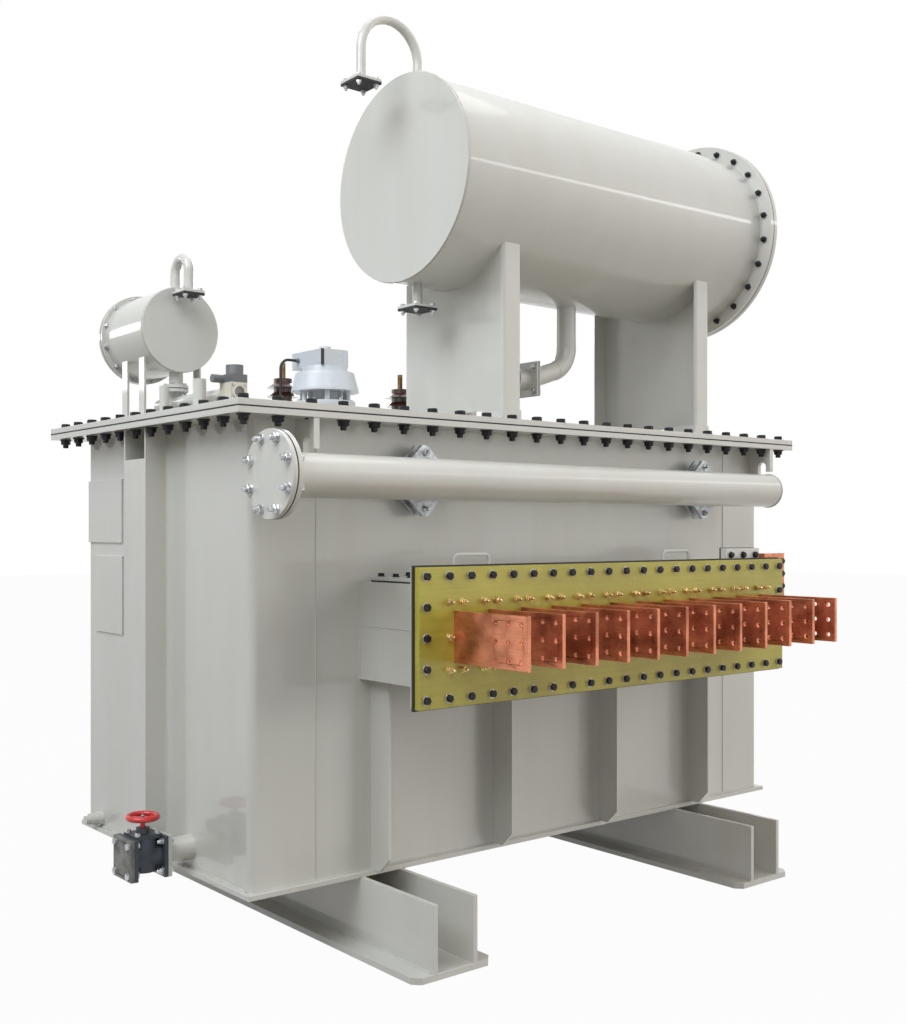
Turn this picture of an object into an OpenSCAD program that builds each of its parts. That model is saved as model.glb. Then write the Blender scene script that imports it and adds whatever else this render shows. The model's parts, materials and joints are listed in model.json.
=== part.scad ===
// Rectifier transformer: an oil-filled steel tank on two skids, with a row of copper terminal bars,
// an oil header pipe, a main and a small oil conservator, and a drain valve with a turning handwheel.
// The origin is on the floor under the middle of the tank.
// X runs along the terminal side, which faces -Y, and Z is up.

/* [Skids] */
// Distance between the middles of the two skids
skid_gauge = 1475; // [1000:5:2000]
// Length of a skid along Y
skid_length = 1844; // [1400:1:2400]
// Width of a skid's base plate
skid_plate_w = 296; // [220:1:400]
// Thickness of a skid's base plate
skid_plate_t = 20; // [12:1:32]
// Cut at each corner of a skid's base plate
skid_corner_cut = 24; // [5:1:60]
// Width across the outer faces of a skid's two webs
skid_web_spread = 166; // [120:1:200]
// Thickness of a skid's web
skid_web_t = 16; // [8:1:24]
// Height of a skid
skid_h = 215; // [150:1:300]
// Diameter of the holding-down holes
skid_hole_d = 28; // [16:1:40]
// Distance between the holding-down holes along Y
skid_hole_pitch = 1422; // [1000:1:1600]

/* [Tank] */
// Length of the tank
tank_l = 2400; // [2300:10:3200]
// Width of the tank
tank_w = 1120; // [900:10:1600]
// Height of the tank walls
tank_h = 1367; // [1300:1:1900]
// Thickness of the tank walls
wall_t = 10; // [6:1:16]
// Outside radius of the bent wall corners
wall_bend_r = 24; // [18:1:60]
// Length of the bent end walls along the front and the back
end_return = 225; // [180:1:320]
// Thickness of the tank's base plate
base_t = 15; // [10:1:30]
// Overhang of the base plate around the walls
base_lip = 18; // [5:1:60]
// Overhang of the rim and the cover around the walls
rim_lip = 100; // [80:1:160]
// Thickness of the rim
rim_t = 18; // [10:1:30]
// Thickness of the seals between bolted plates
seal_t = 4; // [2:1:8]
// Thickness of the cover
cover_t = 18; // [10:1:30]

/* [Wall ribs] */
// Distance between the front ribs
rib_pitch = 511; // [400:1:600]
// Number of front ribs
rib_n = 4; // [2:1:4]
// Depth of a rib
rib_d = 92; // [40:1:120]
// Thickness of a rib
rib_t = 10; // [6:1:20]
// Cut at a rib's foot
rib_cut = 45; // [10:1:80]
// Width of the end stiffeners
stiff_w = 155; // [80:1:240]
// Depth of the end stiffeners
stiff_d = 72; // [40:1:90]
// Thickness of the end stiffeners
stiff_t = 8; // [5:1:12]
// Offset of the end stiffeners from the middle of the wall
stiff_y = 38; // [-60:1:60]
// Gap left above an end stiffener's web
stiff_gap = 98; // [40:1:200]
// Distance of the left lifting lugs from the tank's left end
lug_left = 162; // [50:1:220]
// Distance of the right lifting lugs from the tank's right end
lug_right = 40; // [25:1:220]
// Thickness of a lifting lug
lug_t = 20; // [16:1:40]
// Depth of a lifting lug
lug_d = 98; // [70:1:98]
// Height of a lifting lug
lug_h = 125; // [100:1:160]
// Width of the hook notch in a lifting lug
lug_notch_w = 36; // [20:1:44]
// Height of the hook notch in a lifting lug
lug_notch_h = 55; // [40:1:80]
// Width of a lug's outer prong
lug_prong = 20; // [14:1:30]
// Length by which a lug's outer prong is shorter than the lug
lug_prong_cut = 35; // [10:1:40]
// Thickness of the bare instrument plates
plate_t = 6; // [3:1:12]
// Middle of the upper plate from the back of the tank
upper_plate_y = 150; // [140:1:260]
// Size of the upper plate along Y
upper_plate_w = 270; // [150:1:270]
// Middle of the upper plate below the rim
upper_plate_drop = 259; // [217:1:367]
// Size of the upper plate along Z
upper_plate_h = 218; // [120:1:220]
// Middle of the lower plate from the back of the tank
lower_plate_y = 184; // [140:1:260]
// Size of the lower plate along Y
lower_plate_w = 211; // [120:1:220]
// Middle of the lower plate below the rim
lower_plate_drop = 547; // [517:1:667]
// Size of the lower plate along Z
lower_plate_h = 268; // [150:1:280]

/* [Terminal box] */
// Length of the terminal box
box_l = 1622; // [1500:1:1800]
// Depth of the terminal box behind its flange
box_d = 309; // [250:1:400]
// Height of the terminal box
box_h = 298; // [240:1:400]
// Middle of the terminal box below the rim
box_drop = 631; // [567:1:717]
// Thickness of the terminal box walls
box_t = 8; // [5:1:12]
// Overhang of the flange around the terminal box
flange_lip = 52; // [35:1:80]
// Thickness of the terminal box flange
flange_t = 12; // [8:1:20]
// Thickness of the rubber behind the insulating board
board_seal_t = 8; // [4:1:12]
// Width of the rubber seen around the insulating board
board_seal_lip = 5; // [1:1:10]
// Thickness of the insulating board
board_t = 20; // [12:1:30]
// Inset of the box lid from the box ends and the tank wall
lid_inset = 24; // [15:1:60]
// Thickness of the box lid
lid_t = 12; // [6:1:20]
// Distance of the lid handles from the middle
handle_x = 495; // [300:1:600]
// Width of a lid handle
handle_w = 160; // [110:1:240]
// Height of a lid handle
handle_h = 72; // [50:1:100]
// Diameter of a lid handle's rod
handle_rod_d = 12; // [8:1:16]
// Bend radius of a lid handle's rod
handle_bend_r = 18; // [14:1:24]

/* [Terminal bars] */
// Number of terminal bars
bar_n = 12; // [6:1:12]
// Distance between the terminal bars
bar_pitch = 132.3; // [100:0.1:135]
// Thickness of a terminal bar
bar_t = 12; // [8:1:20]
// Height of a terminal bar
bar_h = 150; // [140:1:180]
// Length of a terminal bar in front of the board
bar_l = 301; // [240:1:400]
// Diameter of the holes in a terminal bar
bar_hole_d = 14; // [9:1:18]
// Distance between the holes in a terminal bar
bar_hole_pitch = 51; // [40:1:55]
// Number of hole rows and columns in a terminal bar
bar_hole_n = 3; // [2:1:3]
// Distance of the outer holes from the end of a terminal bar
bar_hole_edge = 26; // [20:1:40]
// Width of the copper angle's front leg
angle_w = 123; // [80:1:160]
// Depth of the copper angle's side leg
angle_d = 90; // [60:1:140]
// Height of the copper angle
angle_h = 290; // [200:1:320]
// Height of the copper angle's top over the box
angle_rise = 72; // [40:1:100]
// Thickness of the copper angle
angle_t = 10; // [6:1:16]
// Length of the end cover on the box lid
end_cover_l = 195; // [150:1:260]
// Height of the end cover above the lid
end_cover_h = 92; // [60:1:120]
// Thickness of the end cover
end_cover_t = 25; // [12:1:30]

/* [Oil header] */
// Outside diameter of the oil pipes in front
header_od = 127; // [100:1:150]
// Wall of the oil header pipe
header_wall = 6; // [4:1:10]
// Distance of the oil header's axis from the tank wall
header_off = 160; // [150:1:200]
// Middle of the oil header below the rim
header_drop = 171; // [150:1:220]
// Left end of the oil header pipe from the middle
header_left = 1221; // [1190:1:1300]
// Right end of the oil header pipe from the middle
header_right = 1052; // [1000:1:1180]
// Diameter of the header flange
header_flange_d = 250; // [230:1:260]
// Thickness of the header flange and its blank
header_flange_t = 14; // [10:1:24]
// Bolt circle of the header flange
header_pcd = 210; // [190:1:220]
// Number of header flange bolts
header_bolt_n = 8; // [4:1:12]
// Diameter of the header flange holes
header_hole_d = 18; // [12:1:20]
// Place of the left header valve
valve_left_x = -612; // [-800:1:-500]
// Place of the right header valve
valve_right_x = 768; // [500:1:800]
// Outside diameter of the branches to the tank
branch_od = 89; // [76:1:100]
// Side of a header valve's square plate
valve_side = 172; // [150:1:180]
// Cut at the corners of a header valve's square plate
valve_cut = 16; // [8:1:30]
// Thickness of a header valve's square plate
valve_plate_t = 12; // [8:1:16]
// Thickness of a header valve's middle
valve_core_t = 22; // [12:1:30]

/* [Main conservator] */
// Diameter of the main conservator
cons_d = 704; // [600:1:740]
// Wall of the conservators
cons_wall = 6; // [4:1:10]
// Left end of the main conservator
cons_left_x = -442; // [-600:1:-400]
// Right end of the main conservator's bolted ring
cons_right_x = 1134; // [1100:1:1300]
// Distance of the main conservator's axis from the middle, towards the front
cons_front = 289; // [200:1:300]
// Height of the main conservator's axis above the cover
cons_z = 840; // [800:1:900]
// Diameter of the main conservator's bolted ring
cons_ring_d = 796; // [760:1:860]
// Thickness of the main conservator's bolted ring and end cover
cons_ring_t = 18; // [10:1:24]
// Thickness of the main conservator's left head
cons_head_t = 8; // [5:1:16]
// Outer face of the left support
support_left_x = -208; // [-330:1:-150]
// Outer face of the right support
support_right_x = 896; // [700:1:1000]
// Width of a support along Y
support_w = 532; // [400:1:600]
// Width of a support's bent sides
support_side = 85; // [60:1:110]
// Thickness of a support
support_t = 8; // [6:1:12]
// Bend radius of a support's corners
support_bend_r = 14; // [10:1:30]
// Height of the pads under the supports
pad_h = 45; // [20:1:60]
// Length of a support pad along Y
pad_l = 110; // [80:1:160]
// Outside diameter of the breather and drain pipes
small_pipe_od = 34; // [25:1:42]
// Wall of the small pipes
small_pipe_wall = 4; // [3:1:6]
// Distance of the breather pipe and the drain from the left head
breather_in = 78; // [40:1:110]
// Distance between the breather's two legs
breather_span = 243; // [200:1:300]
// Height of the breather's bend over the shell's top
breather_rise = 55; // [30:1:80]
// Height of the breather's open leg
breather_drop = 118; // [60:1:140]
// Side of the square flange on a breather or drain
small_flange = 98; // [80:1:110]
// Thickness of a small square flange
small_flange_t = 8; // [5:1:12]
// Length of the drain pipe under the main conservator
drain_pipe_l = 85; // [60:1:120]
// Number of lifting eyes on the main conservator
eye_n = 3; // [2:1:4]
// Height of the conservator's lifting eyes
eye_h = 34; // [24:1:50]
// Thickness of the conservator's lifting eyes
eye_t = 10; // [6:1:14]

/* [Tail pipe] */
// Outside diameter of the tail pipe
tail_od = 76; // [60:1:89]
// Place of the tail pipe's drop
tail_x = 371; // [330:1:500]
// Height of the tail pipe's flanges over the cover
tail_z = 196; // [170:1:240]
// Slope of the tail pipe's run down to its first flange
tail_slope = 18; // [5:1:25]
// Bend radius of the tail pipe
tail_bend_r = 100; // [80:1:110]
// Place of the first tail flange
tail_flange_x = 162; // [120:1:180]
// Side of the tail pipe's square flanges
tail_flange = 127; // [110:1:140]
// Length of the tail pipe between its first flange and the gas relay
tail_spool_l = 80; // [60:1:100]
// Length of the gas relay in the tail pipe
tail_relay_l = 115; // [90:1:130]
// Width of the gas relay in the tail pipe
tail_relay_w = 104; // [90:1:110]
// Height of the gas relay over the tail pipe's axis
tail_relay_h = 78; // [60:1:90]

/* [Small conservator] */
// Diameter of the small conservator
tank2_d = 286; // [220:1:300]
// Place of the small conservator's axis along X
tank2_x = -1048; // [-1080:1:-1000]
// Height of the small conservator's axis above the cover
tank2_z = 317; // [290:1:360]
// Front end of the small conservator
tank2_front_y = 145; // [120:1:180]
// Rear end of the small conservator's bolted ring
tank2_rear_y = 445; // [400:1:480]
// Diameter of the small conservator's bolted ring
tank2_ring_d = 314; // [304:1:350]
// Thickness of the small conservator's bolted ring and cover
tank2_ring_t = 12; // [8:1:16]
// Distance of the small conservator's legs from its axis
leg_x = 104; // [80:1:115]
// Width of a leg along Y
leg_w = 40; // [25:1:60]
// Thickness of a leg
leg_t = 8; // [5:1:12]
// Distance between the legs along Y
leg_pitch = 130; // [90:1:160]
// Distance between the small breather's two legs
breather2_span = 96; // [84:1:110]
// Height of the small breather's bend over the shell's top
breather2_rise = 50; // [30:1:70]
// Height of the small breather's open leg
breather2_drop = 78; // [60:1:90]
// Side of the small breather's flange
breather2_flange = 79; // [70:1:90]
// Outside diameter of the small conservator's oil pipe
run_od = 42; // [34:1:48]
// Height of the small conservator's level pipe over the cover
run_z = 70; // [60:1:80]
// Rear end of the level pipe
run_rear_y = 300; // [280:1:340]

/* [Cover fittings] */
// Middle of the gas relay along Y
relay_y = -205; // [-270:1:-180]
// Width of the gas relay
relay_w = 60; // [58:1:110]
// Length of the gas relay along Y
relay_l = 70; // [60:1:120]
// Height of the gas relay
relay_h = 62; // [50:1:76]
// Diameter of the gas relay's window
relay_window_d = 36; // [24:1:44]
// Height of the gas relay's cap
relay_cap_h = 56; // [40:1:70]
// Diameter of the dome on the gas relay's cap
relay_dome_d = 56; // [40:1:58]
// Diameter of the gas relay's cable gland
relay_gland_d = 26; // [16:1:30]
// Length of the gas relay's cable gland
relay_gland_l = 38; // [20:1:50]
// Place of the pressure relief valve along X
relief_x = -725; // [-760:1:-650]
// Place of the pressure relief valve along Y
relief_y = -248; // [-300:1:-200]
// Diameter of the pressure relief valve's base
relief_base_d = 200; // [180:1:210]
// Height of the pressure relief valve's base
relief_base_h = 58; // [50:1:70]
// Thickness of the flange on the pressure relief valve's base
relief_flange_t = 18; // [12:1:24]
// Diameter of the posts under the relief valve's hood
relief_post_d = 18; // [10:1:24]
// Number of posts under the relief valve's hood
relief_post_n = 6; // [4:1:8]
// Diameter of the valve disc under the relief valve's hood
relief_disc_d = 112; // [90:1:120]
// Height of the open ring under the relief valve's hood
relief_gap_h = 32; // [24:1:44]
// Diameter of the pressure relief valve's hood
relief_hood_d = 226; // [210:1:240]
// Diameter of the hood at its shoulder
relief_shoulder_d = 196; // [160:1:205]
// Height of the pressure relief valve's hood
relief_hood_h = 62; // [50:1:80]
// Diameter of the neck over the hood
relief_neck_d = 150; // [120:1:156]
// Height of the neck over the hood
relief_neck_h = 20; // [12:1:30]
// Length of the switch box along Y
switch_l = 185; // [150:1:200]
// Width of the switch box along X
switch_w = 108; // [80:1:130]
// Distance of the switch box's middle behind the relief valve's axis
switch_back = 30; // [0:1:40]
// Radius of the switch box's corners
switch_corner_r = 10; // [4:1:16]
// Height of the switch box
switch_h = 54; // [40:1:70]
// Diameter of the switch box's knob
knob_d = 38; // [25:1:50]
// Height of the switch box's knob
knob_h = 15; // [8:1:24]
// Diameter of the switch box's conduit
conduit_d = 9; // [7:1:20]
// Bend radius of the switch box's conduit
conduit_bend_r = 32; // [24:1:40]
// Gap between the conduit and the relief valve's hood
conduit_gap = 12; // [8:1:40]
// Height of the cover's open posts
post_h = 120; // [80:1:140]
// Diameter of the first cover post
post_a_d = 43; // [32:1:50]
// Diameter of the second cover post
post_b_d = 32; // [26:1:44]
// Distance between the high-voltage bushings
bushing_pitch = 562; // [400:1:600]
// Middle of the bushing row along X
bushing_mid_x = 24; // [-60:1:60]
// Place of the bushing row along Y
bushing_y = 300; // [200:1:400]
// Number of sheds on a bushing
shed_n = 5; // [3:1:7]
// Diameter of a bushing's sheds
shed_d = 120; // [90:1:140]
// Distance between a bushing's sheds
shed_pitch = 34; // [26:1:40]
// Diameter of a bushing's core
bushing_core_d = 70; // [50:1:80]
// Diameter of a bushing's stud
stud_d = 20; // [12:1:24]
// Length of a bushing's stud
stud_l = 60; // [40:1:80]

/* [Drain valve] */
// Place of the drain valve along Y
drain_y = -200; // [-260:1:-160]
// Height of the drain valve's axis above the tank floor
drain_z = 62; // [60:1:110]
// Outside diameter of the drain stub
drain_od = 76; // [60:1:84]
// Length of the drain stub
drain_stub_l = 93; // [60:1:120]
// Side of the drain valve's square flanges
drain_flange = 122; // [116:1:140]
// Thickness of the drain valve's square flanges
drain_flange_t = 12; // [8:1:16]
// Distance between the drain flange holes
drain_hole_pitch = 88; // [80:1:94]
// Diameter of the drain flange holes
drain_hole_d = 14; // [9:1:16]
// Diameter of the drain blank's bolts
drain_bolt_d = 12; // [8:1:14]
// Width of the drain blank's bolt heads across their corners
drain_bolt_head_d = 21; // [16:1:26]
// Thickness of the drain blank's bolt heads and nuts
drain_bolt_head_t = 8; // [6:1:10]
// Length of the drain valve
drain_valve_l = 110; // [106:1:160]
// Diameter of the drain valve's body
drain_body_d = 88; // [76:1:96]
// Height of the bonnet plate over the drain valve's axis
bonnet_rise = 56; // [54:1:80]
// Size of the bonnet plate
bonnet_side = 84; // [70:1:84]
// Thickness of the bonnet plate
bonnet_t = 12; // [8:1:16]
// Height of the gland over the bonnet plate
gland_h = 16; // [10:1:24]
// Diameter of the gland
gland_d = 40; // [30:1:50]
// Diameter of the handwheel's stem
stem_d = 16; // [12:1:20]
// Length of the stem over the gland
stem_l = 31; // [20:1:40]
// Diameter of the handwheel
wheel_d = 105; // [90:1:130]
// Diameter of the handwheel's rim
wheel_rim_d = 17; // [9:1:20]
// Number of handwheel spokes
spoke_n = 3; // [3:1:5]
// Distance of the sampling plug from the back of the tank
plug_y = 111; // [90:1:140]
// Height of the sampling plug above the tank floor
plug_z = 28; // [26:1:60]
// Diameter of the sampling plug
plug_d = 42; // [25:1:46]
// Length of the sampling plug
plug_l = 45; // [40:1:80]
// Diameter of the sampling plug's nose
plug_nose_d = 30; // [16:1:36]
// Length of the sampling plug's nose
plug_nose_l = 16; // [8:1:24]
// Diameter of the sampling plug's wall collar
plug_collar_d = 52; // [46:1:54]
// Thickness of the sampling plug's wall collar
plug_collar_t = 14; // [8:1:20]
// Clearance between turning pieces
turn_gap = 0.3; // [0.2:0.1:0.6]

/* [Hidden] */
$fn = 64;
cut = 1;
half = 0.5;
floor_z = skid_h + base_t;
rim_z = floor_z + tank_h;
rim_seal_z = rim_z + rim_t;
cover_z = rim_seal_z + seal_t;
top_z = cover_z + cover_t;
end_x = tank_l / 2;
front_y = -tank_w / 2;
box_mid_z = rim_z - box_drop;
box_top_z = box_mid_z + box_h / 2;
flange_back_y = front_y - box_d;
board_back_y = flange_back_y - flange_t - board_seal_t;
board_front_y = board_back_y - board_t;
board_l = box_l + 2 * flange_lip;
board_h = box_h + 2 * flange_lip;
lid_z = box_top_z + seal_t;
lid_top_z = lid_z + lid_t;
lid_l = box_l - 2 * lid_inset;
lid_w = box_d - 2 * lid_inset;
lid_y = front_y - box_d / 2;
header_y = front_y - header_off;
header_axis_z = rim_z - header_drop;
header_face_x = -header_left;
blank_x = header_face_x - seal_t;
branch_gap = header_off - header_od / 2;
valve_l = 2 * valve_plate_t + valve_core_t;
valve_y = front_y - (branch_gap - valve_l) / 2;
cons_y = -cons_front;
cons_axis_z = top_z + cons_z;
cons_r = cons_d / 2;
cons_ring_x = cons_right_x - cons_ring_t;
support_base_z = top_z + pad_h;
support_top_z = cons_axis_z - sqrt(pow(cons_r, 2) - pow(support_w / 2, 2));
breather_x = cons_left_x + breather_in;
cons_top_z = cons_axis_z + cons_r;
cons_low_z = cons_axis_z - cons_r;
pipe_sink = 12;
bend_step = 1;
bend_lap = 4;
tail_axis_z = top_z + tail_z;
tail_relay_x = tail_flange_x - tail_spool_l;
tail_turn = 90 - tail_slope;
tail_run_x = tail_x - tail_bend_r * (1 - cos(tail_turn));
tail_run_l = (tail_run_x - tail_flange_x) / sin(tail_turn);
tail_run_z = tail_axis_z + tail_run_l * cos(tail_turn);
tail_bend_z = tail_run_z + tail_bend_r * sin(tail_turn);
tank2_axis_z = top_z + tank2_z;
tank2_r = tank2_d / 2;
tank2_ring_y = tank2_rear_y - tank2_ring_t;
neck_y = tank2_front_y + run_od;
run_axis_z = top_z + run_z;
relay_rear_y = relay_y + relay_l / 2;
relief_hood_z = top_z + relief_base_h + relief_gap_h;
switch_y = relief_y + switch_back;
switch_z = relief_hood_z + relief_hood_h + relief_neck_h;
drain_axis_z = floor_z + drain_z;
drain_flange_x = -end_x - drain_stub_l;
drain_body_x = drain_flange_x - drain_flange_t;
drain_mid_x = drain_body_x - drain_valve_l / 2;
drain_face_x = drain_body_x - drain_valve_l;
bonnet_z = drain_axis_z + bonnet_rise;
gland_z = bonnet_z + bonnet_t;
stem_z = gland_z + gland_h + turn_gap;
wheel_z = stem_z + stem_l;
hub_d = 2 * stem_d;
hub_h = wheel_rim_d * half;
paint = [0.80, 0.79, 0.74];
rubber = [0.06, 0.06, 0.06];
copper = [0.74, 0.40, 0.28];
galvanised = [0.70, 0.72, 0.74];

/* [Selection] */
// Node to build

// A box centred on X and Y that stands on its Z.
module block(size, at) {
    translate([at[0] - size[0] / 2, at[1] - size[1] / 2, at[2]]) cube(size);
}

// A cylinder along X from x0 to x1.
module rod_x(d, x0, x1, y, z) {
    translate([x0, y, z]) rotate([0, 90, 0]) cylinder(d = d, h = x1 - x0);
}

// A cylinder along Y from y0 to y1.
module rod_y(d, y0, y1, x, z) {
    translate([x, y0, z]) rotate([-90, 0, 0]) cylinder(d = d, h = y1 - y0);
}

// A cylinder along Z from z0 to z1.
module rod_z(d, z0, z1, x, y) {
    translate([x, y, z0]) cylinder(d = d, h = z1 - z0);
}

// A plan rectangle with round corners, made of exact arcs.
module round_rect(l, w, r) {
    square([l - 2 * r, w], center = true);
    square([l, w - 2 * r], center = true);
    for (sx = [-1, 1], sy = [-1, 1]) {
        translate([sx * (l / 2 - r), sy * (w / 2 - r)]) circle(r);
    }
}

// A square plate with clipped corners, in plan.
module clipped_square(side, clip) {
    s = side / 2;
    c = s - clip;
    polygon([[-c, -s], [c, -s], [s, -c], [s, c], [c, s], [-c, s], [-s, c], [-s, -c]]);
}

// A hexagon in plan, by its width across corners.
module hexagon(d) {
    polygon([for (i = [0 : 5]) [cos(i * 60) * d / 2, sin(i * 60) * d / 2]]);
}

// One skid: a base plate with cut corners, two webs and two holding-down holes.
module skid(side) {
    l = skid_length / 2;
    w = skid_plate_w / 2;
    c = skid_corner_cut;
    hole_x = w - (skid_plate_w - skid_web_spread) / 4;
    translate([side * skid_gauge / 2, 0, 0]) {
        difference() {
            linear_extrude(skid_plate_t) {
                polygon([[c - w, -l], [w - c, -l], [w, c - l], [w, l - c],
                    [w - c, l], [c - w, l], [-w, l - c], [-w, c - l]]);
            }
            for (e = [-1, 1]) {
                rod_z(skid_hole_d, -cut, skid_plate_t + cut, -side * hole_x, e * skid_hole_pitch / 2);
            }
        }
        for (s = [-1, 1]) {
            block([skid_web_t, skid_length, skid_h - skid_plate_t],
                [s * (skid_web_spread - skid_web_t) / 2, 0, skid_plate_t]);
        }
    }
}

module left_skid() color(paint) skid(-1);

module right_skid() color(paint) skid(1);

module tank_base() color(paint) {
    block([tank_l + 2 * base_lip, tank_w + 2 * base_lip, base_t], [0, 0, skid_h]);
}

// One bent end wall, with its two returns along the front and the back.
module end_wall(side) {
    translate([0, 0, floor_z]) linear_extrude(tank_h) intersection() {
        difference() {
            round_rect(tank_l, tank_w, wall_bend_r);
            round_rect(tank_l - 2 * wall_t, tank_w - 2 * wall_t, wall_bend_r - wall_t);
        }
        translate([side * (end_x - end_return / 2), 0]) square([end_return, tank_w + cut], center = true);
    }
}

module left_end_wall() color(paint) end_wall(-1);

module right_end_wall() color(paint) end_wall(1);

// One flat wall panel between the bent ends.
module panel(side) {
    block([tank_l - 2 * end_return, wall_t, tank_h], [0, side * (tank_w - wall_t) / 2, floor_z]);
}

module front_wall() color(paint) panel(-1);

module back_wall() color(paint) panel(1);

// A flat frame on the tank's walls.
module tank_frame(t, z) {
    difference() {
        block([tank_l + 2 * rim_lip, tank_w + 2 * rim_lip, t], [0, 0, z]);
        block([tank_l - 2 * wall_t, tank_w - 2 * wall_t, t + 2 * cut], [0, 0, z - cut]);
    }
}

module tank_rim() color(paint) tank_frame(rim_t, rim_z);

// Rubber seals under the cover, the box lid, the board and the bolted ends.
module tank_seals() color(rubber) {
    tank_frame(seal_t, rim_seal_z);
    difference() {
        block([lid_l, lid_w, seal_t], [0, lid_y, box_top_z]);
        block([lid_l - 2 * flange_lip, lid_w - 2 * flange_lip, seal_t + 2 * cut],
            [0, lid_y, box_top_z - cut]);
    }
    difference() {
        block([board_l + 2 * board_seal_lip, board_seal_t, board_h + 2 * board_seal_lip],
            [0, board_back_y + board_seal_t / 2, box_mid_z - board_h / 2 - board_seal_lip]);
        block([box_l, board_seal_t + 2 * cut, box_h],
            [0, board_back_y + board_seal_t / 2, box_mid_z - box_h / 2]);
    }
    difference() {
        rod_x(header_flange_d, blank_x, header_face_x, header_y, header_axis_z);
        rod_x(header_od, blank_x - cut, header_face_x + cut, header_y, header_axis_z);
        header_holes();
    }
    difference() {
        rod_x(cons_ring_d, cons_right_x, cons_right_x + seal_t, cons_y, cons_axis_z);
        rod_x(cons_d, cons_right_x - cut, cons_right_x + seal_t + cut, cons_y, cons_axis_z);
    }
    difference() {
        rod_y(tank2_ring_d, tank2_rear_y, tank2_rear_y + seal_t, tank2_x, tank2_axis_z);
        rod_y(tank2_d, tank2_rear_y - cut, tank2_rear_y + seal_t + cut, tank2_x, tank2_axis_z);
    }
}

module tank_cover() color(paint) {
    block([tank_l + 2 * rim_lip, tank_w + 2 * rim_lip, cover_t], [0, 0, cover_z]);
}

// One flat rib on the front or the back wall, with its outer foot cut off.
module rib(x, side, top) {
    y = side * tank_w / 2;
    translate([x + rib_t / 2, 0, 0]) rotate([0, -90, 0]) linear_extrude(rib_t) {
        polygon([[floor_z, y], [top, y], [top, y + side * rib_d], [floor_z + rib_cut, y + side * rib_d],
            [floor_z, y + side * (rib_d - rib_cut)]]);
    }
}

module wall_ribs() color(paint) {
    for (i = [0 : rib_n - 1]) {
        rib((i - (rib_n - 1) / 2) * rib_pitch, -1, box_mid_z - box_h / 2);
        rib((i - (rib_n - 1) / 2) * rib_pitch, 1, rim_z);
    }
}

// One pressed channel on an end wall. Its web stops under the rim and its sides run up to it.
module end_stiffener(side) {
    x = side * end_x;
    inner_w = stiff_w - 2 * stiff_t;
    difference() {
        block([stiff_d, stiff_w, tank_h], [x + side * stiff_d / 2, stiff_y, floor_z]);
        block([stiff_d, inner_w, tank_h + 2 * cut],
            [x + side * (stiff_d / 2 - stiff_t), stiff_y, floor_z - cut]);
        block([2 * stiff_t + cut, inner_w, stiff_gap],
            [x + side * stiff_d, stiff_y, rim_z - stiff_gap + cut]);
    }
}

module end_stiffeners() color(paint) {
    for (side = [-1, 1]) {
        end_stiffener(side);
    }
}

// One lifting lug under the rim, with a round-topped hook notch open below and a short outer prong.
module lug(x, side) {
    y = side * tank_w / 2;
    notch_y = y + side * (lug_d - lug_prong - lug_notch_w / 2);
    low = rim_z - lug_h;
    difference() {
        block([lug_t, lug_d, lug_h], [x, y + side * lug_d / 2, low]);
        block([lug_t + 2 * cut, lug_notch_w, lug_notch_h], [x, notch_y, low - cut]);
        rod_x(lug_notch_w, x - lug_t / 2 - cut, x + lug_t / 2 + cut, notch_y, low + lug_notch_h - cut);
        block([lug_t + 2 * cut, 2 * lug_prong, lug_prong_cut], [x, y + side * lug_d, low - cut]);
    }
}

module lifting_lugs() color(paint) {
    for (x = [lug_left - end_x, end_x - lug_right], side = [-1, 1]) {
        lug(x, side);
    }
}

module instrument_plates() color(paint) {
    block([plate_t, upper_plate_w, upper_plate_h],
        [-end_x - plate_t / 2, tank_w / 2 - upper_plate_y, rim_z - upper_plate_drop - upper_plate_h / 2]);
    block([plate_t, lower_plate_w, lower_plate_h],
        [-end_x - plate_t / 2, tank_w / 2 - lower_plate_y, rim_z - lower_plate_drop - lower_plate_h / 2]);
}

// The terminal box: a four-sided tube on the tank wall with a flange round its front.
module terminal_box() color(paint) {
    low = box_mid_z - box_h / 2;
    difference() {
        union() {
            block([box_l, box_d, box_h], [0, front_y - box_d / 2, low]);
            block([board_l, flange_t, board_h], [0, flange_back_y - flange_t / 2, low - flange_lip]);
        }
        block([box_l - 2 * box_t, box_d + flange_t + 2 * cut, box_h - 2 * box_t],
            [0, front_y - (box_d + flange_t) / 2, low + box_t]);
    }
}

module terminal_box_lid() color(paint) block([lid_l, lid_w, lid_t], [0, lid_y, lid_z]);

// A U handle: two legs, two quarter bends and a grip.
module lid_handle(x) {
    run = handle_w / 2 - handle_rod_d / 2;
    bend_z = lid_top_z + handle_h - handle_rod_d / 2 - handle_bend_r;
    for (s = [-1, 1]) {
        rod_z(handle_rod_d, lid_top_z, bend_z, x + s * run, lid_y);
        translate([x + s * (run - handle_bend_r), lid_y, bend_z]) rotate([90, 0, s > 0 ? 0 : 180]) {
            rotate_extrude(angle = 90) translate([handle_bend_r, 0]) circle(d = handle_rod_d);
        }
    }
    rod_x(handle_rod_d, x - run + handle_bend_r, x + run - handle_bend_r, lid_y, bend_z + handle_bend_r);
}

module lid_handles() color(paint) {
    for (s = [-1, 1]) {
        lid_handle(s * handle_x);
    }
}

module insulating_board() color([0.66, 0.63, 0.20]) {
    block([board_l, board_t, board_h], [0, board_back_y - board_t / 2, box_mid_z - board_h / 2]);
}

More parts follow.
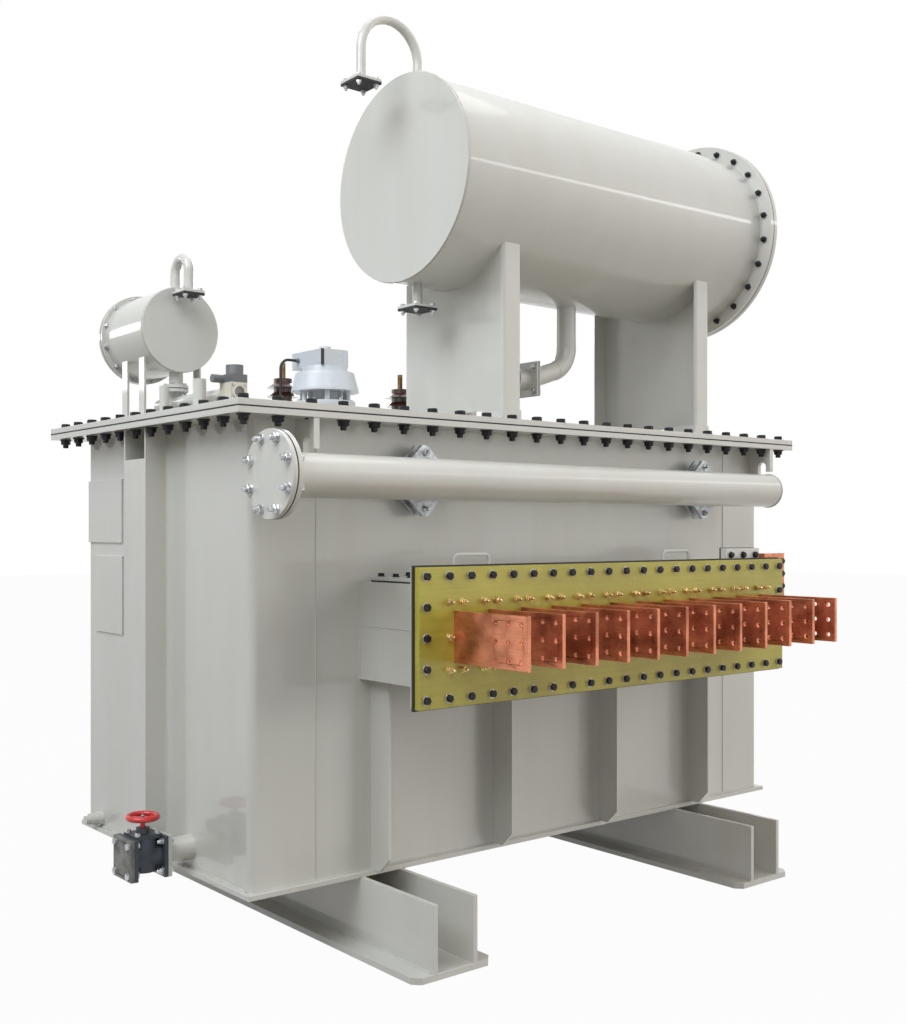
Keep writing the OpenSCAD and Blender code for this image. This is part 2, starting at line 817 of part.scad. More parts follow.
// One terminal bar on edge, with its square field of holes.
module terminal_bar(x) {
    difference() {
        block([bar_t, bar_l, bar_h], [x, board_front_y - bar_l / 2, box_mid_z - bar_h / 2]);
        for (i = [0 : bar_hole_n - 1], j = [0 : bar_hole_n - 1]) {
            rod_x(bar_hole_d, x - bar_t / 2 - cut, x + bar_t / 2 + cut,
                board_front_y - bar_l + bar_hole_edge + i * bar_hole_pitch,
                box_mid_z + (j - (bar_hole_n - 1) / 2) * bar_hole_pitch);
        }
    }
}

module terminal_bars() color(copper) {
    for (i = [0 : bar_n - 1]) {
        terminal_bar((i - (bar_n - 1) / 2) * bar_pitch);
    }
}

// A copper angle that lies on the box's right end and on the back of its flange.
module copper_angle() color(copper) {
    top = box_top_z + angle_rise;
    block([angle_w, angle_t, angle_h], [(box_l + angle_w) / 2, flange_back_y + angle_t / 2, top - angle_h]);
    block([angle_t, angle_d, angle_h], [(box_l + angle_t) / 2, flange_back_y + angle_d / 2, top - angle_h]);
}

// An upright cover plate on the right end of the box, behind the flange.
module end_cover() color(paint) {
    block([end_cover_l, end_cover_t, box_top_z + end_cover_h - lid_top_z],
        [box_l / 2 - end_cover_l / 2, lid_y - lid_w / 2 + end_cover_t / 2, lid_top_z]);
}

// The bolt holes of the header flange and its blank.
module header_holes() {
    for (i = [0 : header_bolt_n - 1]) {
        a = (i + half) * 360 / header_bolt_n;
        rod_x(header_hole_d, blank_x - header_flange_t - cut, header_face_x + header_flange_t + cut,
            header_y + cos(a) * header_pcd / 2, header_axis_z + sin(a) * header_pcd / 2);
    }
}

// The header pipe with its welded flange, closed right end and two branches.
module header_pipe() color(paint) {
    difference() {
        union() {
            rod_x(header_od, header_face_x, header_right, header_y, header_axis_z);
            rod_x(header_flange_d, header_face_x, header_face_x + header_flange_t, header_y, header_axis_z);
            for (x = [valve_left_x, valve_right_x]) {
                rod_y(branch_od, header_y, valve_y - valve_l, x, header_axis_z);
            }
        }
        rod_x(header_od - 2 * header_wall, header_face_x - cut, header_right - header_wall,
            header_y, header_axis_z);
        for (x = [valve_left_x, valve_right_x]) {
            rod_y(branch_od - 2 * header_wall, header_y, valve_y - valve_l + cut, x, header_axis_z);
        }
        header_holes();
    }
}

module header_blank() color(paint) difference() {
    rod_x(header_flange_d, blank_x - header_flange_t, blank_x, header_y, header_axis_z);
    header_holes();
}

// One header valve: two square plates set on a corner, a round middle and a stub to the tank.
module header_valve(x) {
    for (y = [valve_y, valve_y - valve_l + valve_plate_t]) {
        translate([x, y, header_axis_z]) rotate([90, 45, 0]) linear_extrude(valve_plate_t) {
            clipped_square(valve_side, valve_cut);
        }
    }
    rod_y(valve_side - 2 * valve_cut, valve_y - valve_l + valve_plate_t, valve_y - valve_plate_t,
        x, header_axis_z);
    rod_y(branch_od, valve_y, front_y, x, header_axis_z);
}

module header_valves() color(galvanised) {
    for (x = [valve_left_x, valve_right_x]) {
        header_valve(x);
    }
}

module conservator_shell() color(paint) difference() {
    union() {
        rod_x(cons_d, cons_left_x + cons_head_t, cons_right_x, cons_y, cons_axis_z);
        rod_x(cons_ring_d, cons_ring_x, cons_right_x, cons_y, cons_axis_z);
    }
    rod_x(cons_d - 2 * cons_wall, cons_left_x, cons_right_x + cut, cons_y, cons_axis_z);
}

module conservator_head() color(paint) {
    rod_x(cons_d, cons_left_x, cons_left_x + cons_head_t, cons_y, cons_axis_z);
}

module conservator_cover() color(paint) {
    rod_x(cons_ring_d, cons_right_x + seal_t, cons_right_x + seal_t + cons_ring_t, cons_y, cons_axis_z);
}

// One pressed channel support. Its web and its two sides are cut to the shell above.
module support(x, side) {
    depth = support_side;
    difference() {
        translate([x - side * depth / 2, cons_y, support_base_z]) {
            linear_extrude(cons_axis_z - support_base_z) difference() {
                round_rect(depth, support_w, support_bend_r);
                translate([-side * support_t, 0]) {
                    square([depth, support_w - 2 * support_t], center = true);
                }
            }
        }
        rod_x(cons_d, x - depth - cut, x + depth + cut, cons_y, cons_axis_z);
        block([2 * depth + 2 * cut, support_w + 2 * cut, cons_d], [x, cons_y, support_top_z]);
    }
}

module left_support() color(paint) support(support_left_x, -1);

module right_support() color(paint) support(support_right_x, 1);

module support_pads() color(paint) {
    for (s = [-1, 1]) {
        y = cons_y + s * (support_w - pad_l) / 2;
        block([support_side, pad_l, pad_h], [support_left_x + support_side / 2, y, top_z]);
        block([support_side, pad_l, pad_h], [support_right_x - support_side / 2, y, top_z]);
    }
}

// One lifting eye on the conservator's top line.
module eye(x) {
    difference() {
        union() {
            block([eye_h, eye_t, eye_h / 2 + pipe_sink], [x, cons_y, cons_top_z - pipe_sink]);
            rod_y(eye_h, cons_y - eye_t / 2, cons_y + eye_t / 2, x, cons_top_z + eye_h / 2);
        }
        rod_y(eye_h / 2, cons_y - eye_t / 2 - cut, cons_y + eye_t / 2 + cut, x, cons_top_z + eye_h / 2);
        rod_x(cons_d, x - eye_h, x + eye_h, cons_y, cons_axis_z);
    }
}

module conservator_eyes() color(paint) {
    span = cons_ring_x - cons_left_x;
    for (i = [1 : eye_n]) {
        eye(cons_left_x + i * span / (eye_n + 1));
    }
}

// A breather: a straight leg, a half-circle bend and a shorter leg with a square flange.
module breather(span, rise, drop, flange, sink) {
    r = span / 2;
    difference() {
        rod_z(small_pipe_od, -sink, rise, 0, 0);
        rod_z(small_pipe_od - 2 * small_pipe_wall, -sink - cut, rise + cut, 0, 0);
    }
    translate([-r, 0, rise]) rotate([90, 0, 0]) rotate_extrude(angle = 180) translate([r, 0]) difference() {
        circle(d = small_pipe_od);
        circle(d = small_pipe_od - 2 * small_pipe_wall);
    }
    difference() {
        union() {
            rod_z(small_pipe_od, rise - drop, rise, -span, 0);
            block([flange, flange, small_flange_t], [-span, 0, rise - drop]);
        }
        rod_z(small_pipe_od - 2 * small_pipe_wall, rise - drop - cut, rise + cut, -span, 0);
    }
}

module breather_bend() color(paint) difference() {
    translate([breather_x, cons_y, cons_top_z]) {
        breather(breather_span, breather_rise, breather_drop, small_flange, pipe_sink);
    }
    rod_x(cons_d, cons_left_x, cons_ring_x, cons_y, cons_axis_z);
}

module conservator_drain() color(paint) difference() {
    union() {
        rod_z(small_pipe_od, cons_low_z - drain_pipe_l, cons_low_z + pipe_sink, breather_x, cons_y);
        block([small_flange, small_flange, small_flange_t], [breather_x, cons_y, cons_low_z - drain_pipe_l]);
    }
    rod_z(small_pipe_od - 2 * small_pipe_wall, cons_low_z - drain_pipe_l - cut, cons_axis_z,
        breather_x, cons_y);
    rod_x(cons_d, cons_left_x, cons_ring_x, cons_y, cons_axis_z);
}

// Dark blank plates under the small square flanges.
module pipe_blanks() color(rubber) {
    block([small_flange, small_flange, small_flange_t],
        [breather_x - breather_span, cons_y, cons_top_z + breather_rise - breather_drop - small_flange_t]);
    block([small_flange, small_flange, small_flange_t],
        [breather_x, cons_y, cons_low_z - drain_pipe_l - small_flange_t]);
    block([breather2_flange, breather2_flange, small_flange_t],
        [tank2_x, neck_y - breather2_span,
            tank2_axis_z + tank2_r + breather2_rise - breather2_drop - small_flange_t]);
}

// The tail pipe from the main conservator, its run to the gas relay and its drop into the cover.
module tail_pipe() color(paint) {
    difference() {
        rod_z(tail_od - 2 * bend_step, tail_bend_z - bend_lap, cons_low_z + pipe_sink, tail_x, cons_y);
        rod_x(cons_d, cons_left_x, cons_ring_x, cons_y, cons_axis_z);
    }
    translate([tail_x - tail_bend_r, cons_y, tail_bend_z]) rotate([90, 0, 0]) rotate([0, 0, -tail_turn]) {
        rotate_extrude(angle = tail_turn) translate([tail_bend_r, 0]) circle(d = tail_od);
    }
    translate([tail_run_x, cons_y, tail_run_z]) rotate([0, 180 + tail_turn, 0]) translate([0, 0, -bend_lap]) {
        cylinder(d = tail_od - 2 * bend_step, h = tail_run_l + bend_lap);
    }
    rod_x(tail_od, tail_relay_x, tail_flange_x, cons_y, tail_axis_z);
    block([2 * small_flange_t, tail_flange, tail_flange],
        [tail_flange_x, cons_y, tail_axis_z - tail_flange / 2]);
    relay_end = tail_relay_x - tail_relay_l;
    block([small_flange_t, tail_flange, tail_flange],
        [relay_end - small_flange_t / 2, cons_y, tail_axis_z - tail_flange / 2]);
    translate([relay_end - small_flange_t, cons_y, tail_axis_z - tail_bend_r]) rotate([90, 0, 180]) {
        rotate_extrude(angle = 90) translate([tail_bend_r, 0]) circle(d = tail_od);
    }
    rod_z(tail_od, top_z, tail_axis_z - tail_bend_r, relay_end - small_flange_t - tail_bend_r, cons_y);
}

// The gas relay in the tail pipe, hidden behind the left support in the photograph.
module tail_relay() color([0.45, 0.46, 0.47]) {
    rod_x(tail_relay_w, tail_relay_x - tail_relay_l, tail_relay_x, cons_y, tail_axis_z);
    rod_z(tail_relay_w, tail_axis_z, tail_axis_z + tail_relay_h, tail_relay_x - tail_relay_l / 2, cons_y);
}

module small_conservator_shell() color(paint) difference() {
    union() {
        rod_y(tank2_d, tank2_front_y + cons_head_t, tank2_rear_y, tank2_x, tank2_axis_z);
        rod_y(tank2_ring_d, tank2_ring_y, tank2_rear_y, tank2_x, tank2_axis_z);
    }
    rod_y(tank2_d - 2 * cons_wall, tank2_front_y, tank2_rear_y + cut, tank2_x, tank2_axis_z);
}

module small_conservator_head() color(paint) {
    rod_y(tank2_d, tank2_front_y, tank2_front_y + cons_head_t, tank2_x, tank2_axis_z);
}

module small_conservator_cover() color(paint) {
    rod_y(tank2_ring_d, tank2_rear_y + seal_t, tank2_rear_y + seal_t + tank2_ring_t, tank2_x, tank2_axis_z);
}

module small_conservator_legs() color(paint) difference() {
    for (sx = [-1, 1], sy = [-1, 1]) {
        block([leg_t, leg_w, tank2_z],
            [tank2_x + sx * leg_x, (tank2_front_y + tank2_ring_y) / 2 + sy * leg_pitch / 2, top_z]);
    }
    rod_y(tank2_d, tank2_front_y, tank2_ring_y, tank2_x, tank2_axis_z);
}

module small_breather() color(paint) difference() {
    translate([tank2_x, neck_y, tank2_axis_z + tank2_r]) rotate([0, 0, 90]) {
        breather(breather2_span, breather2_rise, breather2_drop, breather2_flange, pipe_sink);
    }
    rod_y(tank2_d, tank2_front_y, tank2_ring_y, tank2_x, tank2_axis_z);
}

// The small conservator's neck, its level run to the gas relay and its drop into the cover.
module small_oil_pipe() color(paint) {
    difference() {
        rod_z(run_od, run_axis_z, tank2_axis_z, tank2_x, neck_y);
        rod_y(tank2_d, tank2_front_y, tank2_ring_y, tank2_x, tank2_axis_z);
    }
    rod_y(run_od, relay_rear_y, run_rear_y, tank2_x, run_axis_z);
    rod_z(run_od, top_z, run_axis_z, tank2_x, run_rear_y);
}

// The gas relay's cast box, its round window and its foot on the cover.
module gas_relay() color([0.74, 0.70, 0.62]) {
    low = run_axis_z - relay_h / 2;
    difference() {
        block([relay_w, relay_l, relay_h], [tank2_x, relay_y, low]);
        rod_y(relay_window_d, relay_y - relay_l / 2 - cut, relay_y - relay_l / 2 + pipe_sink,
            tank2_x, run_axis_z);
    }
    rod_z(run_od, top_z, low, tank2_x, relay_y);
}

// The gas relay's cap: a flat plate, a dome towards the front and a cable gland on the left.
module gas_relay_cap() color([0.36, 0.38, 0.39]) {
    z = run_axis_z + relay_h / 2;
    dome_y = relay_y - (relay_l - relay_dome_d) / 2;
    block([relay_w, relay_l, relay_gland_d], [tank2_x, relay_y, z]);
    rod_z(relay_dome_d, z + relay_gland_d, z + relay_cap_h, tank2_x, dome_y);
    gland_y = relay_y + relay_l / 4;
    rod_x(relay_gland_d, tank2_x - relay_w / 2 - relay_gland_l, tank2_x - relay_w / 2, gland_y,
        z + relay_gland_d / 2);
}

// The pressure relief valve's riser and flange, its valve disc and the posts under its hood.
module relief_base() color([0.78, 0.80, 0.82]) {
    flange_top = top_z + relief_base_h;
    rod_z(relief_neck_d, top_z, flange_top, relief_x, relief_y);
    rod_z(relief_base_d, flange_top - relief_flange_t, flange_top, relief_x, relief_y);
    rod_z(relief_disc_d, flange_top, relief_hood_z, relief_x, relief_y);
    post_r = relief_base_d / 2 - relief_post_d;
    for (i = [0 : relief_post_n - 1]) {
        a = i * 360 / relief_post_n;
        rod_z(relief_post_d, flange_top, relief_hood_z,
            relief_x + cos(a) * post_r, relief_y + sin(a) * post_r);
    }
}

// The pressure relief valve's hood and its neck.
module relief_hood() color([0.80, 0.82, 0.85]) {
    neck_top = relief_hood_h + relief_neck_h;
    translate([relief_x, relief_y, relief_hood_z]) rotate_extrude() {
        polygon([[0, 0], [relief_hood_d / 2, 0], [relief_shoulder_d / 2, relief_hood_h],
            [relief_neck_d / 2, relief_hood_h], [relief_neck_d / 2, neck_top], [0, neck_top]]);
    }
}

module relief_switch_box() color([0.72, 0.75, 0.80]) {
    translate([relief_x, switch_y, switch_z]) linear_extrude(switch_h) {
        round_rect(switch_w, switch_l, switch_corner_r);
    }
    rod_z(knob_d, switch_z + switch_h, switch_z + switch_h + knob_h, relief_x, relief_y);
}

// The conduit from the switch box down to the cover: a level run, a quarter bend and a straight drop.
module relief_conduit() color(rubber) {
    x = relief_x - relief_hood_d / 2 - conduit_gap;
    y = switch_y + switch_l / 4;
    z = switch_z + switch_h / 2;
    bend_z = z - conduit_bend_r;
    rod_x(conduit_d, x + conduit_bend_r, relief_x - switch_w / 2, y, z);
    translate([x + conduit_bend_r, y, bend_z]) rotate([90, 0, 180]) {
        rotate_extrude(angle = 90) translate([conduit_bend_r, 0]) circle(d = conduit_d);
    }
    rod_z(conduit_d, top_z, bend_z, x, y);
}

// Open posts on the left end of the cover.
module cover_posts() color(paint) {
    x = tank2_x - run_od - post_a_d / 2;
    rod_z(post_a_d, top_z, top_z + post_h, x, relay_rear_y + relay_l);
    rod_z(post_b_d, top_z, top_z + post_h, x, neck_y - run_od);
}

// The three porcelain bushings, each a revolved row of sheds on a flange.
module bushings() color([0.24, 0.11, 0.06]) {
    r = bushing_core_d / 2;
    h = (shed_n + 1) * shed_pitch;
    for (i = [-1 : 1]) {
        translate([bushing_mid_x + i * bushing_pitch, bushing_y, top_z]) rotate_extrude() {
            square([r, h]);
            for (j = [1 : shed_n]) {
                translate([0, j * shed_pitch]) {
                    polygon([[0, 0], [shed_d / 2, 0], [r, shed_pitch / 2], [0, shed_pitch / 2]]);
                }
            }
        }
    }
}

module bushing_studs() color([0.70, 0.58, 0.30]) {
    z = top_z + (shed_n + 1) * shed_pitch;
    for (i = [-1 : 1]) {
        rod_z(stud_d, z, z + stud_l, bushing_mid_x + i * bushing_pitch, bushing_y);
    }
}

// The four bolt holes of a drain flange between two places on X.
module drain_holes(x0, x1) {
    for (sy = [-1, 1], sz = [-1, 1]) {
        rod_x(drain_hole_d, x0 - cut, x1 + cut, drain_y + sy * drain_hole_pitch / 2,
            drain_axis_z + sz * drain_hole_pitch / 2);
    }
}

module drain_stub() color(paint) {
    rod_x(drain_od, drain_flange_x, -end_x, drain_y, drain_axis_z);
    difference() {
        block([drain_flange_t, drain_flange, drain_flange],
            [drain_flange_x - drain_flange_t / 2, drain_y, drain_axis_z - drain_flange / 2]);
        drain_holes(drain_body_x, drain_flange_x);
    }
}

// The drain valve's body: two square flanges, a round body, a bonnet plate and a gland with the stem's bore.
module drain_valve() color([0.19, 0.21, 0.25]) difference() {
    union() {
        rod_x(drain_body_d, drain_face_x, drain_body_x, drain_y, drain_axis_z);
        rod_z(drain_body_d, drain_axis_z - drain_body_d / 2, bonnet_z, drain_mid_x, drain_y);
        for (x = [drain_face_x + drain_flange_t / 2, drain_body_x - drain_flange_t / 2]) {
            block([drain_flange_t, drain_flange, drain_flange],
                [x, drain_y, drain_axis_z - drain_flange / 2]);
        }
        block([bonnet_side, bonnet_side, bonnet_t], [drain_mid_x, drain_y, bonnet_z]);
        rod_z(gland_d, gland_z, gland_z + gland_h, drain_mid_x, drain_y);
    }
    rod_z(stem_d + 2 * turn_gap, drain_axis_z, gland_z + gland_h + cut, drain_mid_x, drain_y);
    drain_holes(drain_face_x, drain_face_x + drain_flange_t);
    drain_holes(drain_body_x - drain_flange_t, drain_body_x);
}

module drain_blank() color(galvanised) difference() {
    block([drain_flange_t, drain_flange, drain_flange],
        [drain_face_x - drain_flange_t / 2, drain_y, drain_axis_z - drain_flange / 2]);
    drain_holes(drain_face_x - drain_flange_t, drain_face_x);
}

// The blank's four bolts: a hexagon head outside, a shank through both flanges and a nut behind.
module drain_blank_bolts() color(galvanised) {
    head_x = drain_face_x - drain_flange_t - drain_bolt_head_t;
    nut_x = drain_face_x + drain_flange_t;
    for (sy = [-1, 1], sz = [-1, 1]) {
        y = drain_y + sy * drain_hole_pitch / 2;
        z = drain_axis_z + sz * drain_hole_pitch / 2;
        rod_x(drain_bolt_d, head_x, nut_x + drain_bolt_head_t, y, z);
        for (x = [head_x, nut_x]) {
            translate([x, y, z]) rotate([0, 90, 0]) linear_extrude(drain_bolt_head_t) {
                hexagon(drain_bolt_head_d);
            }
        }
    }
}

// The red handwheel: a ring, spokes and a hub on the stem.
module handwheel() color([0.82, 0.10, 0.08]) translate([drain_mid_x, drain_y, wheel_z]) {
    r = (wheel_d - wheel_rim_d) / 2;
    rotate_extrude() translate([r, 0]) circle(d = wheel_rim_d);
    rod_z(hub_d, -hub_h, 0, 0, 0);
    rod_z(stem_d, gland_z - bonnet_t - wheel_z, 0, 0, 0);
    for (i = [0 : spoke_n - 1]) {
        rotate([0, 0, i * 360 / spoke_n]) rod_x(hub_h, 0, r, 0, -hub_h / 2);
    }
}

module sampling_plug() color(paint) {
    y = tank_w / 2 - plug_y;
    rod_x(plug_nose_d, -end_x - plug_l - plug_nose_l, -end_x, y, floor_z + plug_z);
    rod_x(plug_d, -end_x - plug_l, -end_x, y, floor_z + plug_z);
    rod_x(plug_collar_d, -end_x - plug_collar_t, -end_x, y, floor_z + plug_z);
}

left_skid();
right_skid();
tank_base();
left_end_wall();
right_end_wall();
front_wall();
back_wall();
tank_rim();
tank_seals();
tank_cover();
wall_ribs();
end_stiffeners();
lifting_lugs();
instrument_plates();
terminal_box();
terminal_box_lid();
lid_handles();
insulating_board();
terminal_bars();
copper_angle();
end_cover();
header_pipe();
header_blank();
header_valves();
conservator_shell();
conservator_head();
conservator_cover();
left_support();
right_support();
support_pads();
conservator_eyes();
breather_bend();
conservator_drain();
pipe_blanks();
tail_pipe();
tail_relay();
small_conservator_shell();
small_conservator_head();
small_conservator_cover();
small_conservator_legs();
small_breather();
small_oil_pipe();
gas_relay();
gas_relay_cap();
relief_base();
relief_hood();
relief_switch_box();
relief_conduit();
cover_posts();
bushings();
bushing_studs();
drain_stub();
drain_valve();
drain_blank();
drain_blank_bolts();
handwheel();
sampling_plug();
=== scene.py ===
"""Looks of the rectifier transformer: finishes for the CAD nodes, and the fasteners, welds and studs on them.

Everything is in metres in the CAD frame: the tank's long front faces -Y, X runs along it and Z is up.
"""

import json
import math

import bpy
from mathutils import Matrix, Vector


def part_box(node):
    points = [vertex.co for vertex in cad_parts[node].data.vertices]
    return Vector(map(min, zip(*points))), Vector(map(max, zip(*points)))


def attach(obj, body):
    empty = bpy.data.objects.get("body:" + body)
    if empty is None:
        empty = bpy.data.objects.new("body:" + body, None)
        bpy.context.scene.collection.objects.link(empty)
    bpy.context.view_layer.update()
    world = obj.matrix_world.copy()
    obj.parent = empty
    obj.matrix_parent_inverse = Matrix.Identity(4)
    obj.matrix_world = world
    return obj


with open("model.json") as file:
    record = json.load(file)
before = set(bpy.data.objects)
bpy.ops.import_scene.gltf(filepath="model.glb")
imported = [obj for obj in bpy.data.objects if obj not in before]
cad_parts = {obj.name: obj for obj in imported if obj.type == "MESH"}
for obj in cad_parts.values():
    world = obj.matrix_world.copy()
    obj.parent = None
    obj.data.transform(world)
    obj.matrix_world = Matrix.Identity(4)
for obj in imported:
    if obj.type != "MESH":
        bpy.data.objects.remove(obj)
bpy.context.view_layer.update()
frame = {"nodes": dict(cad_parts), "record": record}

# The seals' thickness, as between the tank's rim and its cover
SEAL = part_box("tank_cover")[0][2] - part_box("tank_rim")[1][2]
ROOT = "transformer"
WHEEL = "drain_handwheel"
X, Y, Z = Vector((1, 0, 0)), Vector((0, 1, 0)), Vector((0, 0, 1))


def new_material(name, roughness, metallic=0.0):
    """A material, its node tree and its Principled shader."""
    mat = bpy.data.materials.new(name)
    mat.use_nodes = True
    tree = mat.node_tree
    shader = tree.nodes["Principled BSDF"]
    shader.inputs["Metallic"].default_value = metallic
    shader.inputs["Roughness"].default_value = roughness
    return mat, tree, shader


def noise(tree, scale, detail, stretch=(1, 1, 1)):
    """Noise in the part's own metres, stretched along the axes."""
    coords = tree.nodes.new("ShaderNodeTexCoord")
    mapping = tree.nodes.new("ShaderNodeMapping")
    mapping.inputs["Scale"].default_value = stretch
    texture = tree.nodes.new("ShaderNodeTexNoise")
    texture.inputs["Scale"].default_value = scale
    texture.inputs["Detail"].default_value = detail
    tree.links.new(coords.outputs["Object"], mapping.inputs["Vector"])
    tree.links.new(mapping.outputs["Vector"], texture.inputs["Vector"])
    return texture.outputs["Fac"]


def ramp(tree, value, stops):
    """Colours along a value, from (place, colour) stops."""
    node = tree.nodes.new("ShaderNodeValToRGB")
    band = node.color_ramp
    while len(band.elements) < len(stops):
        band.elements.new(0.5)
    for element, (place, colour) in zip(band.elements, stops):
        element.position = place
        element.color = (*colour, 1)
    tree.links.new(value, node.inputs["Fac"])
    return node.outputs["Color"]


def span(tree, value, low, high, start=0.3, end=0.7):
    """A value mapped from start..end to low..high."""
    node = tree.nodes.new("ShaderNodeMapRange")
    node.inputs["From Min"].default_value = start
    node.inputs["From Max"].default_value = end
    node.inputs["To Min"].default_value = low
    node.inputs["To Max"].default_value = high
    tree.links.new(value, node.inputs["Value"])
    return node.outputs["Result"]


def multiply(tree, a, b):
    """One colour darkened by another."""
    node = tree.nodes.new("ShaderNodeMix")
    node.data_type = "RGBA"
    node.blend_type = "MULTIPLY"
    node.inputs["Factor"].default_value = 1.0
    tree.links.new(a, node.inputs["A"])
    tree.links.new(b, node.inputs["B"])
    return node.outputs["Result"]


def bump(tree, height, strength, distance, under=None):
    """The normal of a bump from a height, on top of another bump if one is given."""
    node = tree.nodes.new("ShaderNodeBump")
    node.inputs["Strength"].default_value = strength
    node.inputs["Distance"].default_value = distance
    tree.links.new(height, node.inputs["Height"])
    if under:
        tree.links.new(under, node.inputs["Normal"])
    return node.outputs["Normal"]


def shade(colour, k):
    """A colour made lighter or darker by a factor."""
    return tuple(min(1.0, c * k) for c in colour)


WHITE = (1, 1, 1)
STREAK, GRAIN_SHADE, FIBRE_SHADE = (1.0, 0.99, 0.96), (0.82, 0.82, 0.82), (0.90, 0.91, 0.84)
# Scale and detail of each noise, with how it is stretched where it runs along an axis
DRIFT, STREAKS, GLOSS, PEEL, WAVES = (1.7, 5), (9.0, 6, (1, 1, 0.12)), (14.0, 4), (260.0, 2), (2.6, 1)
GRAIN, SCRATCHES = (140.0, 5), (220.0, 4)
CLOUDS, FIBRES = (3.2, 6, (1, 1, 1.6)), (60.0, 6, (0.12, 1, 2.2))
RESIN, WEAVE = (12.0, 4), (500.0, 2, (0.3, 1, 1))
# How far roughness swings below and above its mean, and the resin's lowest and highest
PAINT_SWING, METAL_SWING, RESIN_ROUGHNESS = (0.07, 0.10), (0.10, 0.16), (0.14, 0.30)
COAT_ROUGHNESS = 0.06
GRAIN_DEPTH, WEAVE_DEPTH = 0.15, 0.05
# Bump heights in metres
FINE_RELIEF, WEAVE_RELIEF, WAVE_RELIEF = 0.0004, 0.0003, 0.012


def painted(name, colour, roughness, dust, peel=0.06, coat=0.0, waves=0.0):
    """Sprayed paint: slow colour drift, faint vertical streaks, orange peel, uneven gloss and wavy sheet."""
    mat, tree, shader = new_material(name, roughness)
    dusty, clean = shade(colour, 1 - dust), shade(colour, 1 + dust * 0.5)
    drift = ramp(tree, noise(tree, *DRIFT), [(0.35, dusty), (0.65, clean)])
    streak = shade(STREAK, 1 - dust)
    streaks = ramp(tree, noise(tree, *STREAKS), [(0.30, streak), (0.60, WHITE)])
    tree.links.new(multiply(tree, drift, streaks), shader.inputs["Base Color"])
    below, above = PAINT_SWING
    gloss = span(tree, noise(tree, *GLOSS), roughness - below, roughness + above)
    tree.links.new(gloss, shader.inputs["Roughness"])
    shader.inputs["Coat Weight"].default_value = coat
    shader.inputs["Coat Roughness"].default_value = COAT_ROUGHNESS
    skin = bump(tree, noise(tree, *PEEL), peel, FINE_RELIEF)
    if waves:
        skin = bump(tree, noise(tree, *WAVES), waves, WAVE_RELIEF, skin)
    tree.links.new(skin, shader.inputs["Normal"])
    return mat


def metal(name, colour, roughness, tint, grain=(1, 1, 1), scale=30.0, metallic=1.0):
    """Bare metal: patches of a second tint, drawn grain and uneven polish."""
    mat, tree, shader = new_material(name, roughness, metallic)
    patches = ramp(tree, noise(tree, scale, 8), [(0.38, tint), (0.54, colour), (0.74, shade(colour, 1.2))])
    grains = ramp(tree, noise(tree, *GRAIN, grain), [(0.30, GRAIN_SHADE), (0.66, WHITE)])
    tree.links.new(multiply(tree, patches, grains), shader.inputs["Base Color"])
    below, above = METAL_SWING
    polish = span(tree, noise(tree, scale * 1.6, 6), roughness - below, roughness + above)
    tree.links.new(polish, shader.inputs["Roughness"])
    skin = bump(tree, noise(tree, *SCRATCHES, grain), GRAIN_DEPTH, FINE_RELIEF)
    tree.links.new(skin, shader.inputs["Normal"])
    return mat


def laminate(name, colour):
    """Yellow-green glass laminate: woven cloth under resin, with cloudy patches."""
    mat, tree, shader = new_material(name, RESIN_ROUGHNESS[1])
    dark, pale = shade(colour, 0.84), shade(colour, 1.16)
    clouds = ramp(tree, noise(tree, *CLOUDS), [(0.30, dark), (0.55, colour), (0.78, pale)])
    fibres = ramp(tree, noise(tree, *FIBRES), [(0.30, FIBRE_SHADE), (0.62, WHITE)])
    tree.links.new(multiply(tree, clouds, fibres), shader.inputs["Base Color"])
    tree.links.new(span(tree, noise(tree, *RESIN), *RESIN_ROUGHNESS), shader.inputs["Roughness"])
    weave = bump(tree, noise(tree, *WEAVE), WEAVE_DEPTH, WEAVE_RELIEF)
    tree.links.new(weave, shader.inputs["Normal"])
    return mat


PAINT = (0.572, 0.570, 0.538)
MATS = {
    "paint": painted("paint", PAINT, 0.36, 0.03, coat=0.7, waves=0.05),
    "rubber": painted("rubber", (0.018, 0.018, 0.019), 0.62, 0.25, 0.3),
    "copper": metal("copper", (0.750, 0.285, 0.160), 0.28, (0.430, 0.150, 0.084), (1, 0.15, 1), 9.0, 0.82),
    "brass": metal("brass", (0.680, 0.520, 0.260), 0.26, (0.470, 0.345, 0.160), scale=40.0),
    "board": laminate("board", (0.450, 0.405, 0.060)),
    "galvanised": metal(
        "galvanised", (0.600, 0.620, 0.640), 0.42, (0.400, 0.420, 0.440), scale=55.0, metallic=0.8
    ),
    "casting": painted("casting", (0.600, 0.560, 0.490), 0.45, 0.10, 0.3),
    "dark_casting": painted("dark_casting", (0.120, 0.128, 0.132), 0.42, 0.14, 0.4),
    "valve_slate": painted("valve_slate", (0.035, 0.043, 0.058), 0.40, 0.20, 0.6),
    "relief_grey": painted("relief_grey", (0.545, 0.580, 0.625), 0.32, 0.05, 0.15),
    "porcelain": painted("porcelain", (0.052, 0.018, 0.010), 0.14, 0.18, 0.05, 0.6),
    "red": painted("red", (0.560, 0.016, 0.016), 0.30, 0.12, 0.15, 0.3),
}
BLACK_STEEL = metal(
    "black_steel", (0.024, 0.024, 0.026), 0.42, (0.012, 0.012, 0.013), scale=80.0, metallic=0.6
)
ZINC = metal("zinc", (0.560, 0.570, 0.580), 0.30, (0.380, 0.390, 0.400), scale=70.0)
WELD_PAINT = painted("weld_paint", shade(PAINT, 0.93), 0.42, 0.10, 0.3)
GLASS = painted("sight_glass", (0.180, 0.185, 0.185), 0.10, 0.10, 0.0, 0.8)
